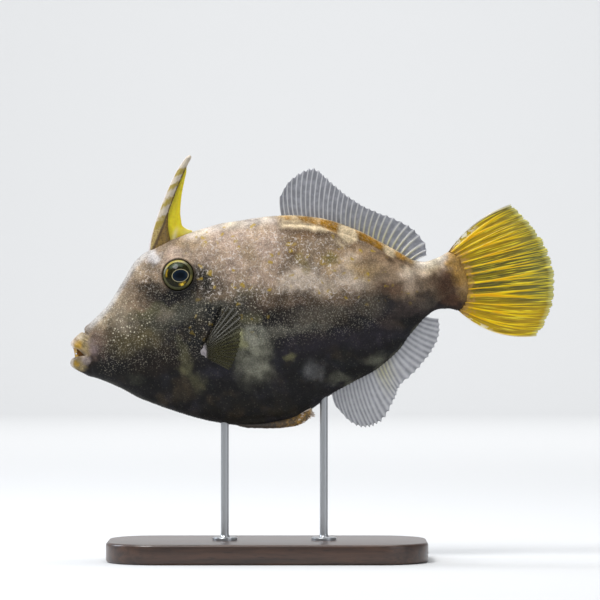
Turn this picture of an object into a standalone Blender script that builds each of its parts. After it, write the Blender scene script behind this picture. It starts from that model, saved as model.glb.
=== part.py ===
# A deep-bodied filefish, life size, swimming nose down over a display stand.
# The fish is modelled in its own axes: x runs from the lips to the tail, z is up, and its left side is at -y.
# An empty then sets it nose down above the base. Tables are in millimetres in those axes.

import math

import bmesh
import bpy
import numpy as np
from mathutils import Matrix, Vector

MM = 0.001
GAP = 0.3  # between neighbouring pieces

# How the fish hangs over the base: where its lips are, and how far its nose points down.
LIPS_AT = (-96.94, 0.0, 82.0)
NOSE_DOWN_DEG = 10.0

# The body's outline seen from the side, and its half width seen from above.
TOP_LINE = (
    (-0.6, -3.2), (0.3, 1.8), (1.6, 5.0), (3.9, 7.2), (7.0, 8.3), (8.4, 9.7), (19.4, 18.1), (27.5, 27.2),
    (33.0, 33.0), (38.0, 35.6), (47.0, 38.0), (57.0, 40.1), (70.0, 41.4), (80.0, 41.3), (92.0, 40.5),
    (107.0, 37.0), (121.0, 29.8), (136.6, 17.9), (142.2, 13.5), (146.5, 12.4), (152.0, 13.1), (156.0, 14.5),
)
BELLY_LINE = (
    (-0.6, -4.4), (0.3, -6.8), (2.1, -8.4), (7.9, -10.5), (13.8, -14.0), (25.3, -22.5), (43.0, -32.4),
    (58.0, -38.6), (72.0, -41.4), (82.0, -41.3), (91.0, -38.4), (100.0, -34.0), (110.4, -30.4),
    (119.9, -27.2), (128.7, -22.1), (136.0, -15.4), (142.8, -10.0), (148.0, -7.8), (152.0, -8.2),
    (156.0, -9.7),
)
HALF_WIDTH = (
    (-0.6, 0.5), (0.3, 2.5), (1.6, 3.6), (3.9, 4.6), (6.2, 4.8), (7.2, 4.6), (8.6, 5.4), (20.0, 7.6),
    (33.0, 10.2), (46.0, 12.3), (60.0, 13.7), (74.0, 14.0), (90.0, 13.2), (105.0, 11.2), (120.0, 8.6),
    (135.0, 5.9), (146.0, 4.3), (156.0, 3.4),
)
TAIL_ROOT_X = 156.0  # from here the flesh ends in a half ellipse, which the tail fin's root wraps
TAIL_ROOT_REACH = 5.8
WIDEST_LEVEL = 0.52  # of the height from belly to back
BACK_FULLNESS = 2.2  # exponent of the section above its widest level, where 2 is an ellipse
# The same below it, by x: round at the lips, drawn in to a keel along the belly.
BELLY_FULLNESS = ((-0.6, 2.3), (7.0, 2.1), (28.0, 1.8), (150.0, 1.75), (156.0, 2.1))
RING_SIDES = 32

# Where the body is parted: (x at the back, x at the belly) of a plane across it.
HEAD_CUT = (61.2, 43.0)
TAIL_CUT = (148.6, 148.6)

# Mouth: the gape is a wedge that closes at its corner.
GAPE_UPPER = (1.6, 2.7)
GAPE_LOWER = (1.6, -1.5)
GAPE_CORNER = (6.9, -1.35)
LIP_RADIUS = 0.85
LIP_INSET = 0.5  # of a lip's middle line under the skin
LIP_OFF_GAPE = 0.5  # of the same line from the side of the gape
LIP_TAPER = 0.45  # of its radius, towards the corner
UPPER_LIP_FRONT_X = 1.5
LOWER_LIP_FRONT_X = 0.4
TEETH_PER_JAW = 6
TEETH_FRONT_X = 2.5
TEETH_BOW = 2.5  # radius of the bow that they stand on
TEETH_BOW_ANGLE = math.radians(62)
TOOTH_HEIGHTS = (1.85, 0.75)  # upper and lower, at the front
TOOTH_RADIUS = 0.5

EYE_AT = (48.2, 23.8)
EYE_RADIUS = 6.4
EYE_DEPTH = 3.9
EYE_SUNK = 0.5  # how far its centre lies under the skin
EYE_AXIS = (-0.08, -1.0, 0.15)  # the left eye looks this way
EYE_SIDES = 28
EYE_RINGS = 12
ORBIT_RADIUS = 7.8
ORBIT_DEPTH = 2.4
NOSTRILS = ((34.1, 22.5), (37.0, 23.5))
NOSTRIL_RADIUS = 0.6
NOSTRIL_DEPTH = 1.3
NOSTRIL_RIM_RADIUS = 1.2
NOSTRIL_RIM_HEIGHT = 0.7

GILL_SLIT_AT = (57.4, -0.8)
GILL_SLIT_HALF_LENGTH = 6.0
GILL_SLIT_HALF_WIDTH = 0.6
GILL_SLIT_DEPTH = 2.0
GILL_SLIT_SLOPE_DEG = 53.0

# First dorsal spine: its front and rear edges seen from the side, root to tip, and its half thickness.
SPINE_FRONT = (
    (37.6, 34.2), (39.5, 39.7), (42.2, 45.4), (46.8, 53.5),
    (51.3, 60.4), (55.5, 66.0), (59.6, 69.9), (61.0, 70.5),
)
SPINE_REAR = (
    (47.6, 35.4), (47.5, 41.6), (48.3, 47.7), (52.4, 55.6),
    (55.9, 61.4), (59.0, 66.0), (61.4, 69.2), (61.6, 69.9),
)
SPINE_HALF_THICKNESS = (2.9, 2.5, 2.1, 1.8, 1.5, 1.2, 0.8, 0.4)
SPINE_SIDES = 10
BARBS_PER_SIDE = 7
BARBS_SPAN = (0.3, 0.88)  # of the spine's length
BARB_ROOT_AT = (0.72, 0.55)  # of the way from the front edge to the rear one, and of the half thickness
BARB_SCALE = (1.15, 0.65)  # at the spine's root and at its tip
BARB_LENGTH = 2.1
BARB_RADIUS = 0.6
BARB_LEAN = (0.7, 0.8, -0.6)  # back, outwards and down
# Free edge of the membrane behind it, top to nape, and how far its last point runs down into the nape.
SPINE_SKIN_EDGE = (
    (59.9, 65.4), (57.9, 60.9), (55.4, 54.8), (53.4, 47.3), (53.2, 43.7), (55.0, 41.4), (57.6, 40.4),
)
SPINE_SKIN_TOP = 0.8  # of the spine's length
SPINE_SKIN_SUNK = 1.6
SPINE_SKIN_THICKNESS = 0.6

# Fin rays as (x where the ray leaves the body, x and z of its tip). The rays between them follow a curve.
DORSAL_RAYS = (
    (92.9, 93.6, 47.8), (97.0, 98.8, 53.9), (103.2, 107.7, 57.1), (107.6, 112.4, 54.4),
    (111.0, 115.2, 50.0), (117.7, 121.2, 42.9), (124.0, 128.1, 36.9), (129.5, 135.4, 32.6),
    (133.7, 142.3, 27.8), (137.0, 146.1, 23.0), (139.4, 147.9, 17.9), (141.9, 147.4, 14.4),
)
DORSAL_RAY_COUNT = 31
ANAL_RAYS = (
    (100.4, 101.2, -39.0), (104.6, 106.2, -46.3), (108.6, 111.3, -49.2), (113.0, 116.2, -48.8),
    (119.6, 124.7, -40.4), (124.7, 128.0, -35.2), (128.6, 135.2, -30.4), (132.0, 140.4, -26.1),
    (135.4, 144.4, -22.0), (139.2, 147.4, -16.2), (142.2, 147.8, -11.3),
)
ANAL_RAY_COUNT = 31
RAY_THICKNESS = (1.3, 1.0)  # at the root and at the tip
MEMBRANE_THICKNESS = 0.5
RAY_HALF_WIDTH = 0.42
RAY_BOW = 0.04  # of a ray's length, forwards at its middle
MARGIN_NOTCH = 0.05  # of a ray's length, between two tips
FIN_WAVE = 1.2
FIN_WAVES = 1.5

# Tail fin: tips of its margin from the upper corner to the lower one, by share of the way.
TAIL_MARGIN = (
    (0.0, 184.3, 28.9), (0.18, 190.6, 19.8), (0.36, 195.2, 9.6), (0.54, 196.5, -0.6), (0.72, 194.6, -10.6),
    (0.88, 190.2, -19.2), (1.0, 185.0, -25.0),
)
TAIL_RAY_COUNT = 12
TAIL_ROOT_THICKNESS = 2.2
TAIL_BRANCH = 0.07  # how far a branch lies from its stem's middle, as a share of the way to the next ray
TAIL_BRANCH_SPREAD = 0.19  # and how much further at the margin
TAIL_FLANK = 0.12
TAIL_NOTCH = 0.035
TAIL_UPPER_BOW = 3.2
TAIL_LOWER_BOW = 1.6
TAIL_FORK = 0.4  # share of its length where a ray forks
TAIL_WAVE = 1.5
TAIL_WAVE_SPAN = (0.3, 1.9)  # in half turns of the wave, from the upper corner to the lower one
TAIL_RAY_THICKNESS = (1.5, 1.04)  # at the root and at the margin

PECTORAL_AT = (52.9, -7.8)
PECTORAL_FAN = ((47.0, 19.5), (25.0, 19.5), (0.0, 17.0), (-36.0, 13.0))  # (degrees above the axis, length)
PECTORAL_RAY_THICKNESS = (1.24, 0.78)
PECTORAL_OFF_FLANK = 0.6
PECTORAL_RAY_COUNT = 12
PECTORAL_SPREAD_DEG = 13.0  # from the flank
PECTORAL_CUP = 0.6
PECTORAL_ROOT = 2.2  # half height of the line that the rays start from
PECTORAL_LOBE = (2.0, 1.5, 3.4)

# Pelvic flap along the keel, with the encasing scales and their barbs at its end.
PELVIS_STATIONS = (  # x, z of its middle, half height, half width
    (60.5, -38.4, 0.7, 0.5), (64.0, -39.5, 1.3, 1.5), (70.0, -40.4, 1.7, 1.9), (77.0, -41.2, 2.1, 2.1),
    (83.0, -41.3, 2.6, 2.2), (87.5, -40.6, 2.7, 2.1), (90.3, -39.9, 2.2, 1.7), (91.2, -39.6, 1.1, 0.9),
)
PELVIS_SIDES = 12
PELVIS_BARBS = (  # x and z of the root, and how far the barb leans up
    (88.8, -38.3, 0.25), (89.6, -39.4, 0.05), (89.2, -40.8, -0.15), (86.8, -41.6, -0.35),
)
PELVIS_BARB_OUT = (0.9, 0.45)  # how far the root stands off the middle, and the barb leans outwards
PELVIS_BARB_LENGTH = 2.3
PELVIS_BARB_RADIUS = 0.9

BASE_SIZE = (128.0, 62.0, 8.0)
BASE_AT_X = -18.0
BASE_CORNER = 20.0
BASE_CHAMFER = 1.2
ROD_RADIUS = 1.6
ROD_FOOT_RADIUS = 5.0
ROD_FOOT_HEIGHT = 2.0
ROD_FILLET = 0.8
ROD_INTO_BODY = 4.0
ROD_SIDES = 16
FRONT_ROD_X = -35.0
REAR_ROD_X = 4.6

COLOURS = {
    "skin": ((0.27, 0.20, 0.14), 0.6, 0.0),
    "yellow_fin": ((0.62, 0.50, 0.05), 0.45, 0.0),
    "clear_fin": ((0.42, 0.42, 0.44), 0.4, 0.0),
    "spine": ((0.38, 0.28, 0.13), 0.5, 0.0),
    "pelvis": ((0.24, 0.17, 0.09), 0.6, 0.0),
    "tooth": ((0.36, 0.22, 0.06), 0.4, 0.0),
    "eye": ((0.06, 0.06, 0.03), 0.1, 0.0),
    "steel": ((0.55, 0.56, 0.58), 0.3, 1.0),
    "base": ((0.05, 0.03, 0.02), 0.4, 0.0),
}


def smooth(table, x, column=1):
    """The table's column at x, on a curve through its rows that never overshoots them."""
    xs = [row[0] for row in table]
    ys = [row[column] for row in table]
    x = min(max(x, xs[0]), xs[-1])
    slopes = [(ys[i + 1] - ys[i]) / (xs[i + 1] - xs[i]) for i in range(len(xs) - 1)]
    tangents = [slopes[0]]
    for before, after in zip(slopes, slopes[1:]):
        tangents.append(0.0 if before * after <= 0 else 2 * before * after / (before + after))
    tangents.append(slopes[-1])
    i = max(k for k in range(len(xs) - 1) if xs[k] <= x)
    step = xs[i + 1] - xs[i]
    t = (x - xs[i]) / step
    rise = ys[i + 1] - ys[i]
    return (
        ys[i] + step * tangents[i] * t * (1 - t) ** 2
        + rise * t * t * (3 - 2 * t)
        - step * tangents[i + 1] * t * t * (1 - t)
    )


def along(points, share):
    """The point at this share of a polyline's rows, on a smooth curve."""
    rows = [(i / (len(points) - 1), *p) for i, p in enumerate(points)]
    return [smooth(rows, share, column) for column in range(1, len(rows[0]))]


def tapered(ends, share):
    """From one end's value to the other's."""
    return ends[0] + (ends[1] - ends[0]) * share


def tail_root_share(x):
    return math.sqrt(max(0.0, 1 - ((x - TAIL_ROOT_X) / TAIL_ROOT_REACH) ** 2))


TAIL_ROOT_Z = (TOP_LINE[-1][1] + BELLY_LINE[-1][1]) / 2
TAIL_ROOT_HALF_HEIGHT = (TOP_LINE[-1][1] - BELLY_LINE[-1][1]) / 2
BODY_END_X = TAIL_ROOT_X + TAIL_ROOT_REACH - 0.1


def back_z(x):
    if x > TAIL_ROOT_X:
        return TAIL_ROOT_Z + TAIL_ROOT_HALF_HEIGHT * tail_root_share(x)
    return smooth(TOP_LINE, x)


def belly_z(x):
    if x > TAIL_ROOT_X:
        return TAIL_ROOT_Z - TAIL_ROOT_HALF_HEIGHT * tail_root_share(x)
    return smooth(BELLY_LINE, x)


def half_width(x):
    if x > TAIL_ROOT_X:
        return HALF_WIDTH[-1][1] * (0.25 + 0.75 * tail_root_share(x))
    return smooth(HALF_WIDTH, x)


def flank_y(x, z):
    """Half width of the body at this height."""
    middle = belly_z(x) + (back_z(x) - belly_z(x)) * WIDEST_LEVEL
    over = z > middle
    share = (z - middle) / (back_z(x) - middle) if over else (middle - z) / (middle - belly_z(x))
    power = BACK_FULLNESS if over else smooth(BELLY_FULLNESS, x)
    return half_width(x) * max(0.0, 1 - min(1.0, share) ** power) ** (1 / power)


def section_point(x, angle, swell=0.0):
    """A point of the body's section at x. The angle runs round from the back."""
    middle = belly_z(x) + (back_z(x) - belly_z(x)) * WIDEST_LEVEL
    rise, out = math.cos(angle), math.sin(angle)
    power = 2 / (BACK_FULLNESS if rise > 0 else smooth(BELLY_FULLNESS, x))
    reach = back_z(x) + swell - middle if rise > 0 else middle - belly_z(x) + swell
    y = -(half_width(x) + swell) * math.copysign(abs(out) ** power, out)
    return Vector((x, y, middle + reach * math.copysign(abs(rise) ** power, rise)))


def body_stations():
    snout = [-0.6, -0.3, 0.1, 0.7, 1.5, 2.6, 4.0, 5.6, 6.7, 7.3, 8.4, 9.8, 12.0, 14.8]
    flank = np.linspace(18.0, 153.0, 38)
    end = [TAIL_ROOT_X, 157.6, 159.0, 160.2, 161.0, 161.5, BODY_END_X]
    return [*snout, *flank, *end]


def material(name):
    found = bpy.data.materials.get(name)
    if found:
        return found
    colour, roughness, metallic = COLOURS[name]
    made = bpy.data.materials.new(name)
    made.use_nodes = True
    shader = made.node_tree.nodes["Principled BSDF"]
    shader.inputs["Base Color"].default_value = (*colour, 1.0)
    shader.inputs["Roughness"].default_value = roughness
    shader.inputs["Metallic"].default_value = metallic
    return made


def put(name, bm, finish, parent=None):
    """Makes an object of a bmesh that is in millimetres."""
    bmesh.ops.recalc_face_normals(bm, faces=bm.faces[:])
    bmesh.ops.scale(bm, vec=(MM, MM, MM), verts=bm.verts[:])
    mesh = bpy.data.meshes.new(name)
    bm.to_mesh(mesh)
    bm.free()
    mesh.shade_smooth()
    mesh.set_sharp_from_angle(angle=math.radians(40))
    obj = bpy.data.objects.new(name, mesh)
    bpy.context.scene.collection.objects.link(obj)
    obj.parent = parent
    obj.data.materials.append(material(finish))
    return obj


def keep_largest(bm):
    """Deletes all but the closed surface with the most faces."""
    left = set(bm.verts)
    groups = []
    while left:
        group, edge = set(), [left.pop()]
        while edge:
            vert = edge.pop()
            group.add(vert)
            for link in vert.link_edges:
                other = link.other_vert(vert)
                if other in left:
                    left.remove(other)
                    edge.append(other)
        groups.append(group)
    groups.sort(key=lambda group: sum(len(v.link_faces) for v in group))
    scraps = [v for group in groups[:-1] for v in group]
    bmesh.ops.delete(bm, geom=scraps, context="VERTS")


def combine(obj, tools, operation):
    """Applies one Boolean of all the tools to obj, removes them, and keeps one closed body."""
    group = bpy.data.collections.new(obj.name + "_tools")
    for tool in tools:
        group.objects.link(tool)
    modifier = obj.modifiers.new(operation.lower(), "BOOLEAN")
    modifier.operation = operation
    modifier.operand_type = "COLLECTION"
    modifier.collection = group
    modifier.solver = "EXACT"
    bpy.context.view_layer.update()
    evaluated = obj.evaluated_get(bpy.context.evaluated_depsgraph_get())
    result = bpy.data.meshes.new_from_object(evaluated)
    obj.modifiers.clear()
    bm = bmesh.new()
    bm.from_mesh(result)
    keep_largest(bm)
    bm.to_mesh(result)
    bm.free()
    obj.data = result
    for tool in tools:
        bpy.data.objects.remove(tool)
    bpy.data.collections.remove(group)


def wrapped(rings, sides, place):
    """A closed tube of rings: place(ring, side) gives each point, and flat caps close its ends."""
    bm = bmesh.new()
    bmesh.ops.create_grid(bm, x_segments=rings - 1, y_segments=sides, size=0.5)
    for vert in bm.verts:
        ring = round((vert.co.x + 0.5) * (rings - 1))
        side = round((vert.co.y + 0.5) * sides) % sides
        vert.co = place(ring, side)
    bmesh.ops.remove_doubles(bm, verts=bm.verts[:], dist=1e-5)
    rims = [e for e in bm.edges if e.is_boundary]
    bmesh.ops.holes_fill(bm, edges=rims, sides=0)
    return bm


def ellipsoid(centre, radii, turn=None, u=16, v=10):
    bm = bmesh.new()
    bmesh.ops.create_uvsphere(bm, u_segments=u, v_segments=v, radius=1.0)
    bmesh.ops.scale(bm, vec=radii, verts=bm.verts[:])
    if turn is not None:
        bmesh.ops.transform(bm, matrix=turn.to_4x4(), verts=bm.verts[:])
    bmesh.ops.translate(bm, vec=centre, verts=bm.verts[:])
    return bm


def cone(root, tip, radius, taper=0.12, sides=5):
    """A small barb or tooth from its sunk root to its tip, which is the root's radius times the taper."""
    root, tip = Vector(root), Vector(tip)
    bm = bmesh.new()
    bmesh.ops.create_cone(
        bm, cap_ends=True, segments=sides, radius1=radius, radius2=radius * taper, depth=(tip - root).length
    )
    turn = (tip - root).to_track_quat("Z", "Y").to_matrix().to_4x4()
    bmesh.ops.transform(bm, matrix=Matrix.Translation((root + tip) / 2) @ turn, verts=bm.verts[:])
    return bm


def body_bmesh(swell=0.0):
    stations = body_stations()

    def place(ring, side):
        point = section_point(stations[ring], 2 * math.pi * (side + 0.5) / RING_SIDES, swell)
        if swell and ring in (0, len(stations) - 1):
            point.x += swell if ring else -swell
        return point

    return wrapped(len(stations), RING_SIDES, place)


def part_off(bm, cut, keep_front):
    """Cuts the body on a plane through the cut's two points, and keeps one side less half a gap."""
    back, belly = Vector((cut[0], 0, back_z(cut[0]))), Vector((cut[1], 0, belly_z(cut[1])))
    normal = Vector((back.z - belly.z, 0, belly.x - back.x)).normalized()
    away = -0.5 * GAP if keep_front else 0.5 * GAP
    found = bmesh.ops.bisect_plane(
        bm, geom=bm.verts[:] + bm.edges[:] + bm.faces[:], dist=1e-6, plane_co=back + normal * away,
        plane_no=normal, clear_outer=keep_front, clear_inner=not keep_front,
    )
    rim = [g for g in found["geom_cut"] if isinstance(g, bmesh.types.BMEdge)]
    bmesh.ops.contextual_create(bm, geom=rim)


def swollen_body(fish):
    """The body grown by a gap: what is cut by it then meets the flesh face to face."""
    return put("swollen_body", body_bmesh(GAP * 1.15), "skin", fish)


def side_turn(side):
    """The eye's axis as a rotation, for the left (-1) or right (1) side."""
    axis = Vector((EYE_AXIS[0], -side * EYE_AXIS[1], EYE_AXIS[2]))
    return axis.to_track_quat("Z", "Y").to_matrix()


def eye_centre(side):
    x, z = EYE_AT
    return Vector((x, side * (flank_y(x, z) - EYE_SUNK), z))


def eye_form(side, radius, depth):
    return ellipsoid(eye_centre(side), (radius, radius, depth), side_turn(side), u=EYE_SIDES, v=EYE_RINGS)


def make_head(fish):
    bm = body_bmesh()
    part_off(bm, HEAD_CUT, keep_front=True)
    head = put("head", bm, "skin", fish)
    combine(head, [put("gape", gape_bmesh(), "skin", fish)], "DIFFERENCE")
    raised = [put("lip", lip_bmesh(upper), "skin", fish) for upper in (True, False)]
    holes = []
    for side in (-1, 1):
        raised.append(put("orbit", eye_form(side, ORBIT_RADIUS, ORBIT_DEPTH), "skin", fish))
        holes.append(put("eye_hole", eye_form(side, EYE_RADIUS + GAP, EYE_DEPTH + GAP), "skin", fish))
        for x, z in NOSTRILS:
            centre = (x, side * flank_y(x, z), z)
            rim = ellipsoid(centre, (NOSTRIL_RIM_RADIUS, NOSTRIL_RIM_HEIGHT, NOSTRIL_RIM_RADIUS), u=10, v=6)
            pit = ellipsoid(centre, (NOSTRIL_RADIUS, NOSTRIL_DEPTH, NOSTRIL_RADIUS), u=10, v=6)
            raised.append(put("nostril_rim", rim, "skin", fish))
            holes.append(put("nostril_pit", pit, "skin", fish))
    combine(head, raised, "UNION")
    combine(head, holes, "DIFFERENCE")
    return head


def lip_bmesh(upper):
    """A lip as a tapered roll round the edge of the gape, from corner to corner."""
    half, sides = 8, 8
    front = UPPER_LIP_FRONT_X if upper else LOWER_LIP_FRONT_X
    away = LIP_OFF_GAPE if upper else -LIP_OFF_GAPE
    path = []
    for i in range(-half, half + 1):
        x = front + (GAPE_CORNER[0] - front) * (1 - math.cos(0.5 * math.pi * i / half))
        z = gape_z(x, upper) + away
        y = max(0.0, flank_y(x, z) - LIP_INSET) if i else 0.0
        path.append(Vector((x, math.copysign(y, i), z)))

    def place(ring, side):
        before, after = path[max(ring - 1, 0)], path[min(ring + 1, 2 * half)]
        along_lip = (after - before).normalized()
        up = Vector((0, 0, 1))
        out = along_lip.cross(up).normalized()
        radius = LIP_RADIUS * (1 - LIP_TAPER * (abs(ring - half) / half) ** 2)
        angle = 2 * math.pi * side / sides
        return path[ring] + (out * math.cos(angle) + up * math.sin(angle)) * radius

    return wrapped(2 * half + 1, sides, place)


def gape_bmesh():
    """A wedge right across the snout, open at the front."""
    half_span, past_lips = 12.0, 4.0
    corner = Vector((GAPE_CORNER[0], -half_span, GAPE_CORNER[1]))
    outline = [corner]
    for x, z in (GAPE_UPPER, GAPE_LOWER):
        start = Vector((x, -half_span, z))
        outline.append(start + (start - corner).normalized() * past_lips)
    bm = bmesh.new()
    face = bm.faces.new([bm.verts.new(p) for p in outline])
    far = bmesh.ops.extrude_face_region(bm, geom=[face])
    moved = [g for g in far["geom"] if isinstance(g, bmesh.types.BMVert)]
    bmesh.ops.translate(bm, vec=(0, 2 * half_span, 0), verts=moved)
    return bm


def gape_z(x, upper):
    """Height of the upper or lower side of the gape."""
    edge = GAPE_UPPER if upper else GAPE_LOWER
    return edge[1] + (x - edge[0]) * (GAPE_CORNER[1] - edge[1]) / (GAPE_CORNER[0] - edge[0])


def tooth_row_point(share, out, drop, upper):
    """A point of the bow that the teeth stand on, moved this far outwards and away from the flesh."""
    angle = TEETH_BOW_ANGLE * (2 * share - 1)
    x = TEETH_FRONT_X + TEETH_BOW - (TEETH_BOW + out) * math.cos(angle)
    y = (TEETH_BOW + out) * math.sin(angle)
    return Vector((x, y, gape_z(x, upper) + (-drop if upper else drop)))


def make_teeth(name, upper, fish):
    """A row of incisors on a low gum round the front of a jaw."""
    rings, gum_high, gum_wide = 9, 0.5, 0.4

    def place(ring, side):
        out = gum_wide if side in (0, 3) else -gum_wide
        drop = GAP if side < 2 else GAP + gum_high
        return tooth_row_point(ring / (rings - 1), out, drop, upper)

    row = put(name, wrapped(rings, 4, place), "tooth", fish)
    teeth = []
    for i in range(TEETH_PER_JAW):
        share = (i + 0.5) / TEETH_PER_JAW
        reach = TOOTH_HEIGHTS[0 if upper else 1] * (1 - 0.5 * abs(2 * share - 1))
        foot = tooth_row_point(share, 0, GAP + gum_high * 0.4, upper)
        tip = tooth_row_point(share, 0.3, GAP + reach, upper)
        teeth.append(put("tooth", cone(foot, tip, TOOTH_RADIUS, 0.7, sides=6), "tooth", fish))
    combine(row, teeth, "UNION")
    return row


def make_eye(name, side, fish):
    return put(name, eye_form(side, EYE_RADIUS, EYE_DEPTH), "eye", fish)


def make_trunk(fish):
    bm = body_bmesh()
    part_off(bm, HEAD_CUT, keep_front=False)
    part_off(bm, TAIL_CUT, keep_front=True)
    trunk = put("trunk", bm, "skin", fish)
    slits = []
    for side in (-1, 1):
        x, z = GILL_SLIT_AT
        radii = (GILL_SLIT_HALF_LENGTH, GILL_SLIT_DEPTH, GILL_SLIT_HALF_WIDTH)
        turn = Matrix.Rotation(-math.radians(GILL_SLIT_SLOPE_DEG), 3, "Y")
        slit = ellipsoid((x, side * flank_y(x, z), z), radii, turn, u=12, v=8)
        slits.append(put("slit", slit, "skin", fish))
    combine(trunk, slits, "DIFFERENCE")
    return trunk


def make_tail_stalk(fish):
    bm = body_bmesh()
    part_off(bm, TAIL_CUT, keep_front=False)
    return put("tail_stalk", bm, "skin", fish)


def spine_core(swell=0.0):
    def place(ring, side):
        front, rear = Vector(SPINE_FRONT[ring]), Vector(SPINE_REAR[ring])
        middle, reach = (front + rear) / 2, (rear - front) / 2
        reach *= 1 + swell / reach.length
        angle = 2 * math.pi * side / SPINE_SIDES
        point = middle + reach * math.cos(angle)
        return Vector((point.x, (SPINE_HALF_THICKNESS[ring] + swell) * math.sin(angle), point.y))

    return wrapped(len(SPINE_FRONT), SPINE_SIDES, place)


def make_spine(fish):
    """The stout first spine, with a row of small barbs down each rear corner."""
    spine = put("dorsal_spine", spine_core(), "spine", fish)
    barbs = []
    for side in (-1, 1):
        lean = Vector((BARB_LEAN[0], side * BARB_LEAN[1], BARB_LEAN[2])).normalized()
        for i in range(BARBS_PER_SIDE):
            share = tapered(BARBS_SPAN, i / (BARBS_PER_SIDE - 1))
            at = Vector(along(SPINE_FRONT, share)).lerp(Vector(along(SPINE_REAR, share)), BARB_ROOT_AT[0])
            thick = along([(t,) for t in SPINE_HALF_THICKNESS], share)[0]
            root = Vector((at.x, side * thick * BARB_ROOT_AT[1], at.y))
            scale = tapered(BARB_SCALE, share)
            tip = root + lean * BARB_LENGTH * scale
            barbs.append(put("barb", cone(root, tip, BARB_RADIUS * scale, sides=4), "spine", fish))
    combine(spine, barbs, "UNION")
    combine(spine, [swollen_body(fish)], "DIFFERENCE")
    return spine


def shell(columns, rows, place, thickness):
    """A thin plate with alike triangles on both faces. place gives its middle surface and normal."""
    bm = bmesh.new()
    bmesh.ops.create_grid(bm, x_segments=columns, y_segments=rows, size=0.5)
    bmesh.ops.triangulate(bm, faces=bm.faces[:])
    far = bmesh.ops.extrude_face_region(bm, geom=bm.faces[:])
    lifted = [g for g in far["geom"] if isinstance(g, bmesh.types.BMVert)]
    bmesh.ops.translate(bm, vec=(0, 0, 1), verts=lifted)
    for vert in bm.verts:
        column, row = round((vert.co.x + 0.5) * columns), round((vert.co.y + 0.5) * rows)
        point, normal = place(column, row)
        vert.co = point + normal * thickness(column, row) * (vert.co.z - 0.5)
    return bm


def make_spine_membrane(fish):
    columns, rows = 3, 8

    def place(column, row):
        share = row / rows
        rear = along(SPINE_REAR, SPINE_SKIN_TOP * (1 - share))
        edge = along(SPINE_SKIN_EDGE, share)
        inner, outer = Vector((rear[0], 0, rear[1])), Vector((edge[0], 0, edge[1]))
        if row == rows:
            outer.z -= SPINE_SKIN_SUNK
        return inner.lerp(outer, column / columns), Vector((0, 1, 0))

    plate = shell(columns, rows, place, lambda column, row: SPINE_SKIN_THICKNESS)
    membrane = put("spine_membrane", plate, "yellow_fin", fish)
    thick_spine = put("thick_spine", spine_core(GAP * 1.2), "spine", fish)
    combine(membrane, [thick_spine, swollen_body(fish)], "DIFFERENCE")
    return membrane


def long_fin(rays, count, edge_z, side):
    """A fin of many rays on the back (side 1) or the belly (side -1), each between two flank columns."""
    rows = 3
    first, last = rays[0][0], rays[-1][0]
    pitch = (last - first) / (count - 1)
    flank = RAY_HALF_WIDTH / pitch

    def place(column, row):
        ray = column // 3 + (0.0, flank, 1 - flank)[column % 3]
        turn = ray / (count - 1)
        root_x = tapered((first, last), turn)
        root = Vector((root_x, 0, edge_z(root_x) + side * GAP))
        tip = Vector((smooth(rays, root_x), 0, smooth(rays, root_x, 2)))
        share = row / rows
        if column % 3:
            tip = tip.lerp(root, MARGIN_NOTCH)
        across = Vector((tip.z - root.z, 0, root.x - tip.x)) * side * RAY_BOW
        point = root.lerp(tip, share) - across * 4 * share * (1 - share)
        wave = math.sin(2 * math.pi * FIN_WAVES * turn) * share * FIN_WAVE
        return point + Vector((0, wave, 0)), Vector((0, 1, 0))

    def thickness(column, row):
        return MEMBRANE_THICKNESS if column % 3 else tapered(RAY_THICKNESS, row / rows)

    return shell(3 * (count - 1), rows, place, thickness)


def make_dorsal_fin(fish):
    return put("dorsal_fin", long_fin(DORSAL_RAYS, DORSAL_RAY_COUNT, back_z, 1), "clear_fin", fish)


def make_anal_fin(fish):
    return put("anal_fin", long_fin(ANAL_RAYS, ANAL_RAY_COUNT, belly_z, -1), "clear_fin", fish)


def make_tail_fin(fish):
    """Forked rays from the tail root. A ray has five columns: its stem, then a branch and flank each side."""
    gaps = TAIL_RAY_COUNT - 1
    columns, rows = 5 * gaps, 7

    def place(column, row):
        share = row / rows
        branch = TAIL_BRANCH + TAIL_BRANCH_SPREAD * max(0.0, share - TAIL_FORK) / (1 - TAIL_FORK)
        flank = branch + TAIL_FLANK
        v = (column // 5 + (0.0, branch, flank, 1 - flank, 1 - branch)[column % 5]) / gaps
        angle = math.pi * (0.5 - v)
        root = Vector((
            TAIL_ROOT_X + (TAIL_ROOT_REACH + GAP) * math.cos(angle), 0,
            TAIL_ROOT_Z + (TAIL_ROOT_HALF_HEIGHT + GAP) * math.sin(angle),
        ))
        tip = Vector((smooth(TAIL_MARGIN, v), 0, smooth(TAIL_MARGIN, v, 2)))
        if column % 5 in (2, 3):
            tip = tip.lerp(root, TAIL_NOTCH)
        bow = TAIL_UPPER_BOW * max(0.0, 1 - 3 * v) ** 1.5 - TAIL_LOWER_BOW * max(0.0, 3 * v - 2) ** 1.5
        across = Vector((root.z - tip.z, 0, tip.x - root.x)).normalized()
        point = root.lerp(tip, share) + across * bow * 4 * share * (1 - share)
        wave = TAIL_WAVE * math.sin(math.pi * tapered(TAIL_WAVE_SPAN, v)) * share ** 1.5
        return point + Vector((0, wave, 0)), Vector((0, 1, 0))

    def thickness(column, row):
        share = row / rows
        if row == 0:
            return max(RAY_THICKNESS[1], TAIL_ROOT_THICKNESS * math.sin(math.pi * column / columns))
        on_ray = column % 5 in (1, 4) or (column % 5 == 0 and share < TAIL_FORK)
        return tapered(TAIL_RAY_THICKNESS, share) if on_ray else MEMBRANE_THICKNESS

    return put("tail_fin", shell(columns, rows, place, thickness), "yellow_fin", fish)


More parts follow.
